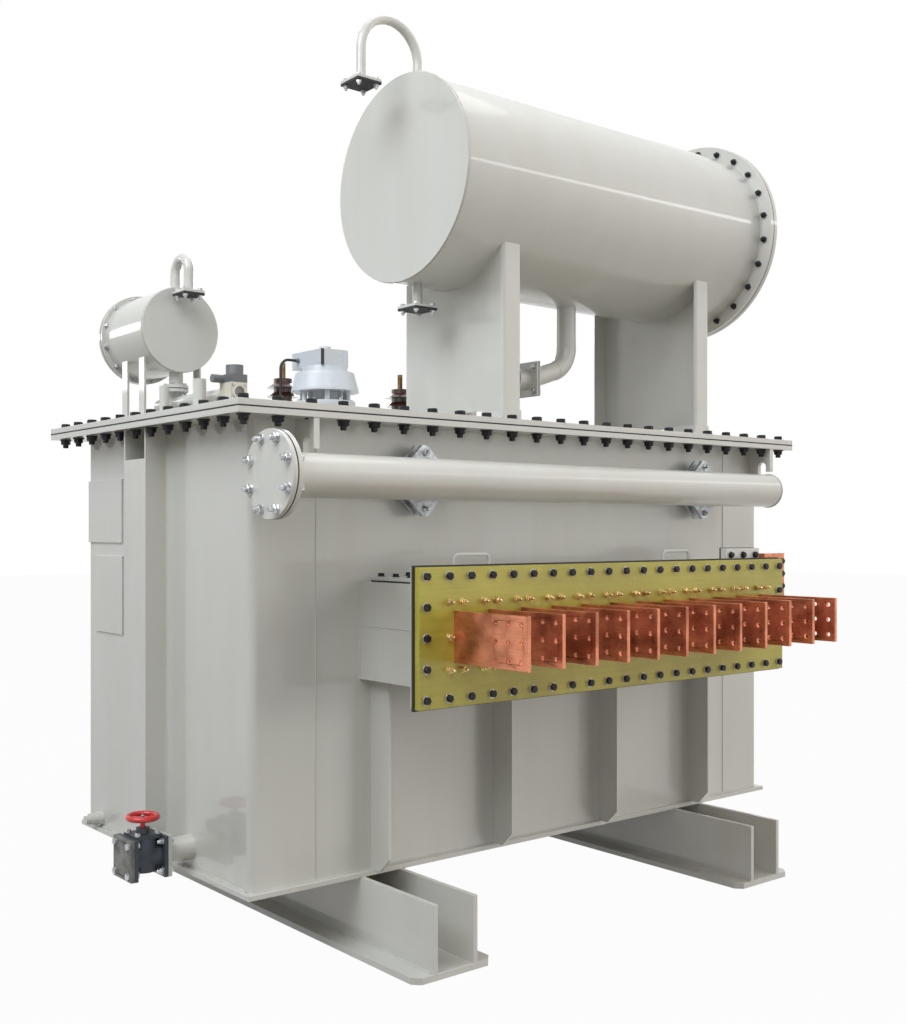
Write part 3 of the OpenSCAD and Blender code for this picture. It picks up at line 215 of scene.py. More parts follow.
OLD_BRASS = metal("old_brass", (0.300, 0.190, 0.085), 0.42, (0.150, 0.095, 0.050), scale=40.0)
DULL_STEEL = metal("dull_steel", (0.200, 0.198, 0.185), 0.48, (0.120, 0.116, 0.108), scale=24.0, metallic=0.4)

slot_of = {part["node"]: part["material_slot"] for part in frame["record"]["subparts"]}
for node_name, obj in frame["nodes"].items():
    obj.data.materials.clear()
    obj.data.materials.append(MATS[slot_of[node_name]])
frame["nodes"]["drain_blank"].data.materials[0] = DULL_STEEL
frame["nodes"]["bushing_studs"].data.materials[0] = OLD_BRASS


# Widths of the softened edges, in metres, and the nodes that get them
EDGE_SOFTENING = {
    0.0012: (
        "tank_cover", "tank_rim", "tank_base", "terminal_box", "terminal_box_lid", "insulating_board",
        "wall_ribs", "end_stiffeners", "instrument_plates", "terminal_bars", "copper_angle", "end_cover",
        "left_skid", "right_skid", "support_pads", "drain_blank", "header_blank", "header_valves",
        "lifting_lugs",
    ),
    0.0035: (
        "drain_valve", "gas_relay", "gas_relay_cap", "relief_switch_box", "relief_hood", "relief_base",
        "tail_relay",
    ),
}
JOIN_DISTANCE, SOFT_STEPS, SOFT_ANGLE = 0.00002, 2, math.radians(40)
for width, names in EDGE_SOFTENING.items():
    for node_name in names:
        obj = frame["nodes"][node_name]
        join = obj.modifiers.new("join", "WELD")
        join.merge_threshold = JOIN_DISTANCE
        bevel = obj.modifiers.new("soften", "BEVEL")
        bevel.width = width
        bevel.segments = SOFT_STEPS
        bevel.limit_method = "ANGLE"
        bevel.angle_limit = SOFT_ANGLE
        bevel.harden_normals = False


# Above this slope a path counts as upright
NEAR_UPRIGHT = 0.9


class Builder:
    """Collects shapes in one mesh and turns them into a piece that rides on a body."""

    def __init__(self):
        self.verts = []
        self.faces = []

    def add(self, verts, faces, place=Matrix.Identity(4)):
        """Takes in a shape at a place."""
        start = len(self.verts)
        self.verts += [place @ Vector(v) for v in verts]
        self.faces += [[start + i for i in face] for face in faces]

    def lathe(self, profile, sides, place, turn=0.0, closed=False):
        """A profile of (radius, height) rings about Z, capped unless the profile closes on itself."""
        verts, faces = [], []
        for radius, height in profile:
            for i in range(sides):
                angle = turn + 2 * math.pi * i / sides
                verts.append((radius * math.cos(angle), radius * math.sin(angle), height))
        rings = len(profile)
        for k in range(rings if closed else rings - 1):
            low, high = k * sides, ((k + 1) % rings) * sides
            for i in range(sides):
                j = (i + 1) % sides
                faces.append((low + i, low + j, high + j, high + i))
        if not closed:
            faces.append(tuple(reversed(range(sides))))
            faces.append(tuple(range((rings - 1) * sides, rings * sides)))
        self.add(verts, faces, place)

    def tube(self, path, radius, sides, ripple, closed=False):
        """A tube along a path, with its radius rippled from point to point."""
        verts, faces = [], []
        count = len(path)
        for k, point in enumerate(path):
            before = path[k - 1] if closed or k else path[0]
            after = path[(k + 1) % count] if closed or k < count - 1 else path[-1]
            along = (after - before).normalized()
            side = along.cross(Z if abs(along.z) < NEAR_UPRIGHT else X).normalized()
            up = side.cross(along)
            r = radius * (1 + ripple * (-1 if k % 2 else 1))
            for i in range(sides):
                angle = 2 * math.pi * i / sides
                verts.append(point + r * (math.cos(angle) * side + math.sin(angle) * up))
        for k in range(count if closed else count - 1):
            low, high = k * sides, ((k + 1) % count) * sides
            for i in range(sides):
                j = (i + 1) % sides
                faces.append((low + i, low + j, high + j, high + i))
        if not closed:
            faces.append(tuple(reversed(range(sides))))
            faces.append(tuple(range((count - 1) * sides, count * sides)))
        self.add(verts, faces)

    def box(self, low, high):
        """A box between two corners."""
        verts = [(x, y, z) for x in (low[0], high[0]) for y in (low[1], high[1]) for z in (low[2], high[2])]
        faces = [(0, 1, 3, 2), (4, 6, 7, 5), (0, 4, 5, 1), (2, 3, 7, 6), (0, 2, 6, 4), (1, 5, 7, 3)]
        self.add(verts, faces)

    def piece(self, name, material, slot, body=ROOT, sharp=35.0):
        """Makes the object, smooth up to the sharp angle, and ties it to its body. The slot is not used."""
        mesh = bpy.data.meshes.new(name)
        mesh.from_pydata(self.verts, [], self.faces)
        mesh.update()
        mesh.materials.append(material)
        mesh.shade_smooth()
        mesh.set_sharp_from_angle(angle=math.radians(sharp))
        obj = bpy.data.objects.new(name, mesh)
        bpy.context.collection.objects.link(obj)
        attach(obj, body)


def facing(point, out, turn=0.0):
    """A place whose +Z points out of a face."""
    outward = out.to_track_quat("Z", "Y").to_matrix().to_4x4()
    return Matrix.Translation(point) @ outward @ Matrix.Rotation(turn, 4, "Z")


HEX_SIDES, THREAD_SIDES, WASHER_SIDES = 6, 12, 20
TURN_STEP, HEX_TURN = 37, 60
# Proportions to the thread: a hexagon's width, a washer's and a head's height
HEX_WIDTH, WASHER_HEIGHT, HEAD_HEIGHT = 1.5, 0.18, 0.68
# Rings of each shape, in shares of its width and of its own height
WASHER_RINGS = ((1, 0), (1, 0.8), (0.96, 1))
HEAD_RINGS = ((1, 0), (1, 0.82), (0.86, 1))
THREAD_RINGS = ((0.5, 0), (0.5, 0.8), (0.42, 1))
FASTENER_SLOT = "galvanised"


def bolt_turn(index):
    """Heads stop at different angles, as hand-tightened ones do."""
    return math.radians((index * TURN_STEP) % HEX_TURN)


def hex_bolts(name, points, out, size, head=BLACK_STEEL, washer=ZINC, tip=0.0, body=ROOT):
    """Hexagon heads with chamfered tops on round washers. A tip above zero is the thread end of a nut."""
    heads, washers = Builder(), Builder()
    corner = 0.5 * HEX_WIDTH * size / math.cos(math.pi / HEX_SIDES)
    thick = WASHER_HEIGHT * size
    tall = HEAD_HEIGHT * size
    top = thick + tall
    for i, point in enumerate(points):
        place = facing(point, out, bolt_turn(i))
        washers.lathe([(r * size, h * thick) for r, h in WASHER_RINGS], WASHER_SIDES, place)
        heads.lathe([(r * corner, thick + h * tall) for r, h in HEAD_RINGS], HEX_SIDES, place)
        if tip:
            heads.lathe([(r * size, top + h * tip) for r, h in THREAD_RINGS], THREAD_SIDES, place)
    heads.piece(name + "_heads", head, FASTENER_SLOT, body)
    washers.piece(name + "_washers", washer, FASTENER_SLOT, body)


def line(a, b, count):
    """Points evenly along a line, ends included."""
    return [Vector(a).lerp(Vector(b), i / (count - 1)) for i in range(count)]


def border(low, high, nx, ny, z):
    """Points along the four sides of a rectangle in plan, corners included once."""
    bottom = line((low.x, low.y, z), (high.x, low.y, z), nx)
    top = line((low.x, high.y, z), (high.x, high.y, z), nx)
    left = line((low.x, low.y, z), (low.x, high.y, z), ny)[1:-1]
    right = line((high.x, low.y, z), (high.x, high.y, z), ny)[1:-1]
    return bottom + top + left + right


def ring(centre, axis, radius, count, start=0.0):
    """Points evenly round a circle about X, Y or Z."""
    a, b = {"X": (Y, Z), "Y": (X, Z), "Z": (X, Y)}[axis]
    angles = [start + 2 * math.pi * i / count for i in range(count)]
    return [centre + radius * (math.cos(t) * a + math.sin(t) * b) for t in angles]


def low_of(node):
    """A node's lowest corner."""
    return Vector(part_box(node)[0])


def high_of(node):
    """A node's highest corner."""
    return Vector(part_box(node)[1])


def mid_of(node):
    """The middle of a node's box."""
    return (low_of(node) + high_of(node)) / 2


MM = 0.001
M20, M16, M12, M10, M8 = 0.020, 0.016, 0.012, 0.010, 0.008
# Thread ends beyond their nuts
LONG_TIP, TIP, SHORT_TIP, SMALL_TIP, FINE_TIP = 0.012, 0.010, 0.008, 0.006, 0.004

COVER_BOLT_INSET = 0.040
COVER_BOLTS_X, COVER_BOLTS_Y = 23, 12


def cover_bolts():
    """The bolts round the tank's cover, with their nuts under the rim."""
    inset = Vector((COVER_BOLT_INSET, COVER_BOLT_INSET, 0))
    low, high = low_of("tank_cover") + inset, high_of("tank_cover") - inset
    top = border(low, high, COVER_BOLTS_X, COVER_BOLTS_Y, high.z)
    under = [Vector((p.x, p.y, low_of("tank_rim").z)) for p in top]
    hex_bolts("cover_bolt", top, Z, M20, washer=BLACK_STEEL)
    hex_bolts("cover_nut", under, -Z, M20, washer=BLACK_STEEL, tip=LONG_TIP)


FLANGE_BOLT = 0.0138
BOARD_BOLT_INSET = 0.026
BOARD_BOLTS_X, BOARD_BOLTS_Z = 21, 5
BOX_FLANGE_T, BOARD_SEAL_T = 0.012, 0.008


def board_bolts():
    """The bolts round the insulating board, with their nuts behind the box's flange."""
    low, high = low_of("insulating_board"), high_of("insulating_board")
    x0, x1 = low.x + BOARD_BOLT_INSET, high.x - BOARD_BOLT_INSET
    z0, z1 = low.z + BOARD_BOLT_INSET, high.z - BOARD_BOLT_INSET
    points = []
    for z in (z0, z1):
        points += line((x0, low.y, z), (x1, low.y, z), BOARD_BOLTS_X)
    for x in (x0, x1):
        points += line((x, low.y, z0), (x, low.y, z1), BOARD_BOLTS_Z)[1:-1]
    hex_bolts("board_bolt", points, -Y, FLANGE_BOLT)
    back = high.y + BOARD_SEAL_T + BOX_FLANGE_T
    nuts = [Vector((p.x, back, p.z)) for p in points]
    hex_bolts("board_nut", nuts, Y, FLANGE_BOLT, washer=BLACK_STEEL, tip=TIP)


LID_BOLT_INSET = 0.022
LID_BOLTS_X, LID_BOLTS_Y = 15, 4
END_COVER_MARGIN = 0.020


def lid_bolts():
    """The bolts round the box's lid, apart from those that the end cover hides."""
    low, high = low_of("terminal_box_lid"), high_of("terminal_box_lid")
    inset = Vector((LID_BOLT_INSET, LID_BOLT_INSET, 0))
    points = border(low + inset, high - inset, LID_BOLTS_X, LID_BOLTS_Y, high.z)
    cover_low, cover_high = low_of("end_cover"), high_of("end_cover")
    x0, x1 = cover_low.x - END_COVER_MARGIN, cover_high.x + END_COVER_MARGIN
    y1 = cover_high.y + END_COVER_MARGIN
    free = [p for p in points if not (x0 < p.x < x1 and p.y < y1)]
    hex_bolts("lid_bolt", free, Z, M12, washer=BLACK_STEEL)


def header_bolts():
    """The bolts round the header's blank, on the pattern that the record states."""
    blank, pipe = low_of("header_blank"), low_of("header_pipe")
    axis = Vector((0, mid_of("header_blank").y, mid_of("header_blank").z))
    pattern = next(m["dims"] for m in frame["record"]["mounts"] if m["name"] == "header_flange")
    count = pattern["count"]
    circle = ring(axis, "X", 0.5 * MM * pattern["pcd_mm"], count, math.pi / count)
    hex_bolts("header_bolt", [p + blank.x * X for p in circle], -X, M16, ZINC, tip=LONG_TIP)
    back = pipe.x + high_of("header_blank").x - blank.x
    hex_bolts("header_back", [p + back * X for p in circle], X, M16, ZINC)


VALVE_BOLTS, VALVE_BOLT_INSET = 4, 0.022


def header_valve_bolts():
    """Four bolts on each of the square valves behind the header."""
    low, high = low_of("header_valves"), high_of("header_valves")
    z = mid_of("header_valves").z
    reach = 0.5 * (high.z - low.z)
    points = []
    for x in (low.x + reach, high.x - reach):
        points += ring(Vector((x, low.y, z)), "Y", reach - VALVE_BOLT_INSET, VALVE_BOLTS)
    hex_bolts("header_valve_bolt", points, -Y, M12, ZINC, tip=TIP)


RING_BOLTS, RING_BOLT_INSET = 24, 0.028
SMALL_RING_BOLTS, SMALL_RING_BOLT_INSET = 12, 0.013


def conservator_bolts():
    """The bolts round the main conservator's end cover, with their nuts on the ring."""
    low, high = low_of("conservator_cover"), high_of("conservator_cover")
    middle = mid_of("conservator_cover")
    nut_x = low.x - (SEAL + high.x - low.x)
    radius = 0.5 * (high.z - low.z) - RING_BOLT_INSET
    circle = ring(Vector((0, middle.y, middle.z)), "X", radius, RING_BOLTS, math.pi / RING_BOLTS)
    hex_bolts("conservator_bolt", [p + high.x * X for p in circle], X, FLANGE_BOLT, washer=BLACK_STEEL)
    hex_bolts("conservator_nut", [p + nut_x * X for p in circle], -X, FLANGE_BOLT, tip=SHORT_TIP)


def small_conservator_bolts():
    """The bolts round the small conservator's end cover, with their nuts on the ring."""
    low, high = low_of("small_conservator_cover"), high_of("small_conservator_cover")
    middle = mid_of("small_conservator_cover")
    nut_y = low.y - (SEAL + high.y - low.y)
    radius = 0.5 * (high.z - low.z) - SMALL_RING_BOLT_INSET
    circle = ring(Vector((middle.x, 0, middle.z)), "Y", radius, SMALL_RING_BOLTS, math.pi / SMALL_RING_BOLTS)
    hex_bolts("small_conservator_bolt", [p + high.y * Y for p in circle], Y, M10, ZINC)
    hex_bolts("small_conservator_nut", [p + nut_y * Y for p in circle], -Y, M10, ZINC, tip=SMALL_TIP)


def square_points(centre, half, axes):
    """The four corners of a square about a centre."""
    a, b = axes
    return [centre + i * half * a + j * half * b for i in (-1, 1) for j in (-1, 1)]


def flange_low(node):
    """The underside of a breather's open flange, where its blank plate begins."""
    blanks = frame["nodes"]["pipe_blanks"].data
    tops = sorted({round(v.co.z, 4) for v in blanks.vertices})
    wanted = low_of(node).z
    return min(tops, key=lambda z: abs(z - wanted))


SMALL_FLANGE_T = 0.008
BREATHER_HALF, SMALL_BREATHER_HALF = 0.049, 0.0395
# Half the distance between the bolts of each square flange
SMALL_FLANGE_BOLTS = {"breather_bend": 0.036, "conservator_drain": 0.036, "small_breather": 0.028}


def pipe_flange_bolts():
    """Bolts through the square flanges of the breathers and the conservator's drain."""
    for node, half in SMALL_FLANGE_BOLTS.items():
        centre = mid_of(node)
        centre.z = low_of(node).z if node == "conservator_drain" else flange_low(node)
        if node == "breather_bend":
            centre.x = low_of(node).x + BREATHER_HALF
        elif node == "small_breather":
            centre.y = low_of(node).y + SMALL_BREATHER_HALF
        top = square_points(centre + SMALL_FLANGE_T * Z, half, (X, Y))
        under = square_points(centre - SMALL_FLANGE_T * Z, half, (X, Y))
        hex_bolts(node + "_bolt", top, Z, M10, ZINC)
        hex_bolts(node + "_nut", under, -Z, M10, ZINC, tip=SMALL_TIP)


DRAIN_BOLT_HALF, BONNET_BOLT_HALF = 0.044, 0.032
# Heights above the drain valve's axis
BONNET_TOP, WHEEL_HUB_TOP = 0.068, 0.1153
WHEEL_NUT = 0.007


def drain_bolts():
    """The bolts of the stub's flange and of the bonnet plate. The blank's own bolts are CAD solids."""
    centre = Vector((0, mid_of("drain_blank").y, mid_of("drain_blank").z))
    thick = high_of("drain_blank").x - low_of("drain_blank").x
    flange = low_of("drain_stub").x
    nuts = square_points(centre + (flange - thick) * X, DRAIN_BOLT_HALF, (Y, Z))
    heads = square_points(centre + (flange + thick) * X, DRAIN_BOLT_HALF, (Y, Z))
    hex_bolts("drain_stub_nut", nuts, -X, M12, ZINC, tip=SHORT_TIP)
    hex_bolts("drain_stub_bolt", heads, X, M12, ZINC)
    body, wheel = mid_of("drain_valve"), mid_of("handwheel")
    bonnet = Vector((body.x, body.y, centre.z + BONNET_TOP))
    hex_bolts("bonnet_bolt", square_points(bonnet, BONNET_BOLT_HALF, (X, Y)), Z, M10, ZINC)
    hub = Vector((wheel.x, wheel.y, centre.z + WHEEL_HUB_TOP))
    hex_bolts("wheel_nut", [hub], Z, WHEEL_NUT, ZINC, body=WHEEL)


END_COVER_BOLTS, END_COVER_BOLT_SIDE, END_COVER_BOLT_DROP = 3, 0.026, 0.024
END_COVER_SEAL_EDGE = 0.002
ANGLE_BOLTS, ANGLE_BOLT_SIDE, ANGLE_BOLT_END = 6, 0.018, 0.030


def end_cover_bolts():
    """The end cover's bolts and seal, and the bolts down the copper angle."""
    low, high = low_of("end_cover"), high_of("end_cover")
    x0, x1, z = low.x + END_COVER_BOLT_SIDE, high.x - END_COVER_BOLT_SIDE, high.z - END_COVER_BOLT_DROP
    points = line((x0, low.y, z), (x1, low.y, z), END_COVER_BOLTS)
    hex_bolts("end_cover_bolt", points, -Y, M12, washer=BLACK_STEEL)
    seal = Builder()
    edge = END_COVER_SEAL_EDGE
    seal.box((low.x - edge, high.y, low.z), (high.x + edge, high.y + SEAL, high.z + edge))
    seal.piece("end_cover_seal", MATS["rubber"], "rubber")
    low, high = low_of("copper_angle"), high_of("copper_angle")
    x, z0, z1 = high.x - ANGLE_BOLT_SIDE, low.z + ANGLE_BOLT_END, high.z - ANGLE_BOLT_END
    hex_bolts("angle_bolt", line((x, low.y, z0), (x, low.y, z1), ANGLE_BOLTS), -Y, M12, washer=BLACK_STEEL)


RELIEF_BOLTS, RELIEF_BOLT_RADIUS, RELIEF_FLANGE_TOP = 6, 0.084, 0.058
# The dark strip down the switch box's corner: its width, how far it stands out and how far short of the box's
# ends it stops
DARK_STRIP_WIDTH, DARK_STRIP_PROUD, DARK_STRIP_SHORT = 0.006, 0.0015, 0.001
# A conduit nut's rings of radius and height, in conduit radii
CONDUIT_NUT = ((1.9, 0), (1.9, 1.2), (1.5, 1.5), (1.4, 2.6))


def relief_details():
    """Flange bolts, a dark rubber strip down one corner of the switch box and the nuts at both ends of its
    conduit.
    """
    centre = mid_of("relief_base")
    centre.z = low_of("relief_base").z + RELIEF_FLANGE_TOP
    circle = ring(centre, "Z", RELIEF_BOLT_RADIUS, RELIEF_BOLTS, math.pi / RELIEF_BOLTS)
    hex_bolts("relief_bolt", circle, Z, M10, ZINC)
    switch, hood = low_of("relief_switch_box"), high_of("relief_hood")
    conduit_low, conduit_high = low_of("relief_conduit"), high_of("relief_conduit")
    radius = 0.5 * (conduit_high.y - conduit_low.y)
    entry = Vector((switch.x, conduit_low.y + radius, conduit_high.z - radius))
    foot = Vector((conduit_low.x + radius, entry.y, conduit_low.z))
    height = 2 * (entry.z - switch.z)
    # A thin dark rubber strip down one corner of the switch box
    dark_strip = Builder()
    dark_strip.box(
        (switch.x - DARK_STRIP_PROUD, switch.y - DARK_STRIP_PROUD, hood.z + DARK_STRIP_SHORT),
        (switch.x + DARK_STRIP_WIDTH, switch.y + DARK_STRIP_WIDTH, hood.z + height - DARK_STRIP_SHORT),
    )
    dark_strip.piece("switch_dark_strip", MATS["rubber"], "rubber")
    nuts = Builder()
    rings = [(r * radius, h * radius) for r, h in CONDUIT_NUT]
    for point, out in ((entry, -X), (foot, Z)):
        nuts.lathe(rings, HEX_SIDES, facing(point, out))
    nuts.piece("conduit_nuts", MATS["dark_casting"], "dark_casting")


TAIL_FLANGE_X, TAIL_FLANGE_Z = 0.162, 1.833
TAIL_FLANGE_HALF, TAIL_FLANGE_HALF_T, TAIL_BOLT_HALF = 0.0635, 0.008, 0.046
SEAL_LINE_HALF, SEAL_LINE_PROUD = 0.0015, 0.001


def tail_flange_details():
    """Bolts and the seal line on the tail pipe's first flange."""
    centre = Vector((TAIL_FLANGE_X, mid_of("tail_pipe").y, TAIL_FLANGE_Z))
    for side in (-1, 1):
        points = square_points(centre + side * TAIL_FLANGE_HALF_T * X, TAIL_BOLT_HALF, (Y, Z))
        hex_bolts(f"tail_bolt_{side + 1}", points, side * X, M12, ZINC)
    reach = TAIL_FLANGE_HALF + SEAL_LINE_PROUD
    corner = Vector((SEAL_LINE_HALF, reach, reach))
    seal = Builder()
    seal.box(centre - corner, centre + corner)
    seal.piece("tail_seal", MATS["rubber"], "rubber")


NECK_PIPE, NECK_FLANGE, NECK_FLANGE_T = 0.034, 0.045, 0.012
NECK_RISE = 0.006
NECK_BOLTS, NECK_BOLT_RADIUS = 4, 0.034
ROUND_SIDES = 32


def neck_flanges():
    """The bolted flange pair on the small conservator's neck."""
    neck = mid_of("small_oil_pipe")
    neck.y = high_of("small_breather").y - NECK_PIPE / 2
    neck.z = 0.5 * (high_of("small_oil_pipe").z + mid_of("gas_relay").z) + NECK_RISE
    place = Matrix.Translation(neck)
    discs, seal = Builder(), Builder()
    for z0, z1 in ((-NECK_FLANGE_T, -SEAL_LINE_HALF), (SEAL_LINE_HALF, NECK_FLANGE_T)):
        discs.lathe([(NECK_FLANGE, z0), (NECK_FLANGE, z1)], ROUND_SIDES, place)
    seal_r = NECK_FLANGE - SEAL_LINE_PROUD
    seal.lathe([(seal_r, -SEAL_LINE_HALF), (seal_r, SEAL_LINE_HALF)], ROUND_SIDES, place)
    discs.piece("neck_flanges", MATS["paint"], "paint")
    seal.piece("neck_seal", MATS["rubber"], "rubber")
    for name, side, tip in (("neck_bolt", 1, 0.0), ("neck_nut", -1, FINE_TIP)):
        face = neck + side * NECK_FLANGE_T * Z
        circle = ring(face, "Z", NECK_BOLT_RADIUS, NECK_BOLTS, math.pi / NECK_BOLTS)
        hex_bolts(name, circle, side * Z, M8, ZINC, tip=tip)


WINDOW, WINDOW_DROP, WINDOW_SIDES = 0.018, 0.031, 40
# The window ring's section: distance beyond the glass and height over the relay's face
WINDOW_RING = ((0, -0.004), (0, 0.005), (0.003, 0.006), (0.007, 0.006), (0.008, 0))
GLASS_BACK, GLASS_FRONT = -0.006, -0.002
WINDOW_SCREW, WINDOW_SCREW_HALF = 0.005, 0.0225


def relay_window():
    """The gas relay's sight glass in its screwed ring."""
    centre = mid_of("gas_relay")
    centre.y = low_of("gas_relay").y
    centre.z = low_of("gas_relay_cap").z - WINDOW_DROP
    place = facing(centre, -Y)
    window_ring, glass = Builder(), Builder()
    window_ring.lathe([(WINDOW + r, h) for r, h in WINDOW_RING], WINDOW_SIDES, place, closed=True)
    window_ring.piece("window_ring", MATS["casting"], "casting")
    glass.lathe([(WINDOW, GLASS_BACK), (WINDOW, GLASS_FRONT)], WINDOW_SIDES, place)
    glass.piece("window_glass", GLASS, "dark_casting")
    hex_bolts("window_bolt", square_points(centre, WINDOW_SCREW_HALF, (X, Z)), -Y, WINDOW_SCREW, ZINC)


BAR_COUNT, BAR_T = 12, 0.012
STUD_SIDE, STUD_ABOVE, STUD_BELOW = 0.025, 0.100, 0.094
# Rings of radius and height over the board
STUD_WASHER = ((0.0115, 0), (0.0115, 0.002), (0.011, 0.0025))
STUD_NUT = ((0.0098, 0.0025), (0.0098, 0.009), (0.0085, 0.0105))
STUD_LOCKNUT = ((0.0088, 0.0105), (0.0088, 0.0155), (0.0078, 0.0165))
STUD_THREAD = ((0.005, 0.0165), (0.005, 0.025), (0.0038, 0.027))
LOCKNUT_TURN, STUD_WASHER_SIDES = 0.4, 18


def terminal_studs():
    """Brass studs on the board beside each bar: a washer, a nut, a locknut and a rounded thread end."""
    low, high = low_of("terminal_bars"), high_of("terminal_bars")
    middle = mid_of("terminal_bars").z
    studs = Builder()
    for k in range(BAR_COUNT):
        x = low.x + BAR_T / 2 + (high.x - low.x - BAR_T) * k / (BAR_COUNT - 1)
        for dx in (-STUD_SIDE, STUD_SIDE):
            for dz in (STUD_ABOVE, 0.0, -STUD_BELOW):
                place = facing(Vector((x + dx, high.y, middle + dz)), -Y, bolt_turn(k))
                studs.lathe(STUD_WASHER, STUD_WASHER_SIDES, place)
                studs.lathe(STUD_NUT, HEX_SIDES, place)
                studs.lathe(STUD_LOCKNUT, HEX_SIDES, place, LOCKNUT_TURN)
                studs.lathe(STUD_THREAD, THREAD_SIDES, place)
    studs.piece("terminal_studs", MATS["brass"], "brass")


BEAD_STEP, BEAD_SIDES, BEAD_RIPPLE, BEAD_SHARP = 0.008, 6, 0.10, 80.0
RUN_POINTS_MIN, RING_PAIRS_MIN = 3, 24
# Bead radii, from the finest seam to the heaviest joint
FINE_BEAD, SEAM_BEAD, RIB_BEAD = 0.0018, 0.0022, 0.0035
JOINT_BEAD, TANK_BEAD, SKID_BEAD = 0.004, 0.0045, 0.005


def weld(name, runs, radius):
    """Rippled fillet beads along straight runs."""
    builder = Builder()
    for a, b in runs:
        a, b = Vector(a), Vector(b)
        path = line(a, b, max(RUN_POINTS_MIN, int((b - a).length / BEAD_STEP) + 1))
        builder.tube(path, radius, BEAD_SIDES, BEAD_RIPPLE)
    builder.piece(name, WELD_PAINT, "paint", sharp=BEAD_SHARP)


def weld_rings(name, circles, radius):
    """Rippled beads round circles of (centre, axis, radius)."""
    builder = Builder()
    for centre, axis, r in circles:
        count = 2 * max(RING_PAIRS_MIN, int(math.pi * r / BEAD_STEP))
        builder.tube(ring(Vector(centre), axis, r, count), radius, BEAD_SIDES, BEAD_RIPPLE, closed=True)
    builder.piece(name, WELD_PAINT, "paint", sharp=BEAD_SHARP)


def edges_of(x0, x1, y0, y1, z, corner):
    """The four straight runs round a rectangle in plan, short of its rounded corners."""
    runs = [((x0 + corner, y, z), (x1 - corner, y, z)) for y in (y0, y1)]
    return runs + [((x, y0 + corner, z), (x, y1 - corner, z)) for x in (x0, x1)]


WALL_CORNER = 0.020


def tank_welds():
    """The walls' upright seams, and the beads at the walls' foot and under the rim."""
    low, high = low_of("left_end_wall"), high_of("right_end_wall")
    seam = high_of("front_wall").x
    seams = [((s * seam, y, low.z), (s * seam, y, high.z)) for s in (-1, 1) for y in (low.y, high.y)]
    weld("wall_seams", seams, SEAM_BEAD)
    weld("base_welds", edges_of(low.x, high.x, low.y, high.y, low.z, WALL_CORNER), TANK_BEAD)
    rim = low_of("tank_rim").z
    weld("rim_welds", edges_of(low.x, high.x, low.y, high.y, rim, WALL_CORNER), TANK_BEAD)


RIBS, RIB_T, RIB_PITCH = 4, 0.010, 0.511
BOX_FLANGE_LIP = 0.052


def rib_welds():
    """Beads down both sides of the ribs and of the end walls' channels."""
    wall = low_of("left_end_wall")
    top = low_of("terminal_box").z + BOX_FLANGE_LIP
    runs = []
    for i in range(RIBS):
        for side in (-1, 1):
            x = (i - (RIBS - 1) / 2) * RIB_PITCH + side * RIB_T / 2
            runs.append(((x, wall.y, wall.z), (x, wall.y, top)))
            runs.append(((x, -wall.y, wall.z), (x, -wall.y, low_of("tank_rim").z)))
    weld("rib_welds", runs, RIB_BEAD)
    low, high = low_of("end_stiffeners"), high_of("end_stiffeners")
    sides = [((x, y, low.z), (x, y, high.z)) for x in (wall.x, -wall.x) for y in (low.y, high.y)]
    weld("stiffener_welds", sides, RIB_BEAD)


BOX_SEAM_SHARE = 0.55


def box_welds():
    """Beads at both ends of the terminal box, and the seam across its sides."""
    wall = low_of("left_end_wall").y
    low, high = low_of("terminal_box"), high_of("terminal_box")
    x0, x1 = low.x + BOX_FLANGE_LIP, high.x - BOX_FLANGE_LIP
    z0, z1 = low.z + BOX_FLANGE_LIP, high.z - BOX_FLANGE_LIP
    front = low.y + BOX_FLANGE_T
    runs = []
    for y in (wall, front):
        runs += [((x0, y, z), (x1, y, z)) for z in (z0, z1)]
        runs += [((x, y, z0), (x, y, z1)) for x in (x0, x1)]
    weld("box_welds", runs, JOINT_BEAD)
    z = (1 - BOX_SEAM_SHARE) * z0 + BOX_SEAM_SHARE * z1
    weld("box_seam", [((x, front, z), (x, wall, z)) for x in (x0, x1)], FINE_BEAD)


SKID_WEB_HALF, SKID_PLATE_T, SKID_END = 0.083, 0.020, 0.010


def skid_welds():
    """Beads along the skids' webs, on the base plates and under the tank's floor."""
    base = low_of("tank_base").y
    runs = []
    for node in ("left_skid", "right_skid"):
        low, high, mid = low_of(node), high_of(node), mid_of(node).x
        for x in (mid - SKID_WEB_HALF, mid + SKID_WEB_HALF):
            runs.append(((x, low.y + SKID_END, SKID_PLATE_T), (x, high.y - SKID_END, SKID_PLATE_T)))
            runs.append(((x, base, high.z), (x, -base, high.z)))
    weld("skid_welds", runs, SKID_BEAD)


SUPPORT_EDGE, SUPPORT_STEPS = 0.012, 80


def support_welds():
    """Beads where the two supports' outer webs meet the conservator's shell."""
    shell = mid_of("conservator_head")
    r = 0.5 * (high_of("conservator_head").z - low_of("conservator_head").z)
    builder = Builder()
    outer = {"left_support": low_of("left_support").x, "right_support": high_of("right_support").x}
    for node, x in outer.items():
        half = 0.5 * (high_of(node).y - low_of(node).y) - SUPPORT_EDGE
        across = [half * (2 * i / SUPPORT_STEPS - 1) for i in range(SUPPORT_STEPS + 1)]
        path = [Vector((x, shell.y + y, shell.z - math.sqrt(r * r - y * y))) for y in across]
        builder.tube(path, TANK_BEAD, BEAD_SIDES, BEAD_RIPPLE)
    builder.piece("support_welds", WELD_PAINT, "paint", sharp=BEAD_SHARP)


HEADER_R, HEADER_CAP_R, HEADER_CAP = 0.0635, 0.0625, 0.006
HEAD_BEAD_SINK = 0.0015


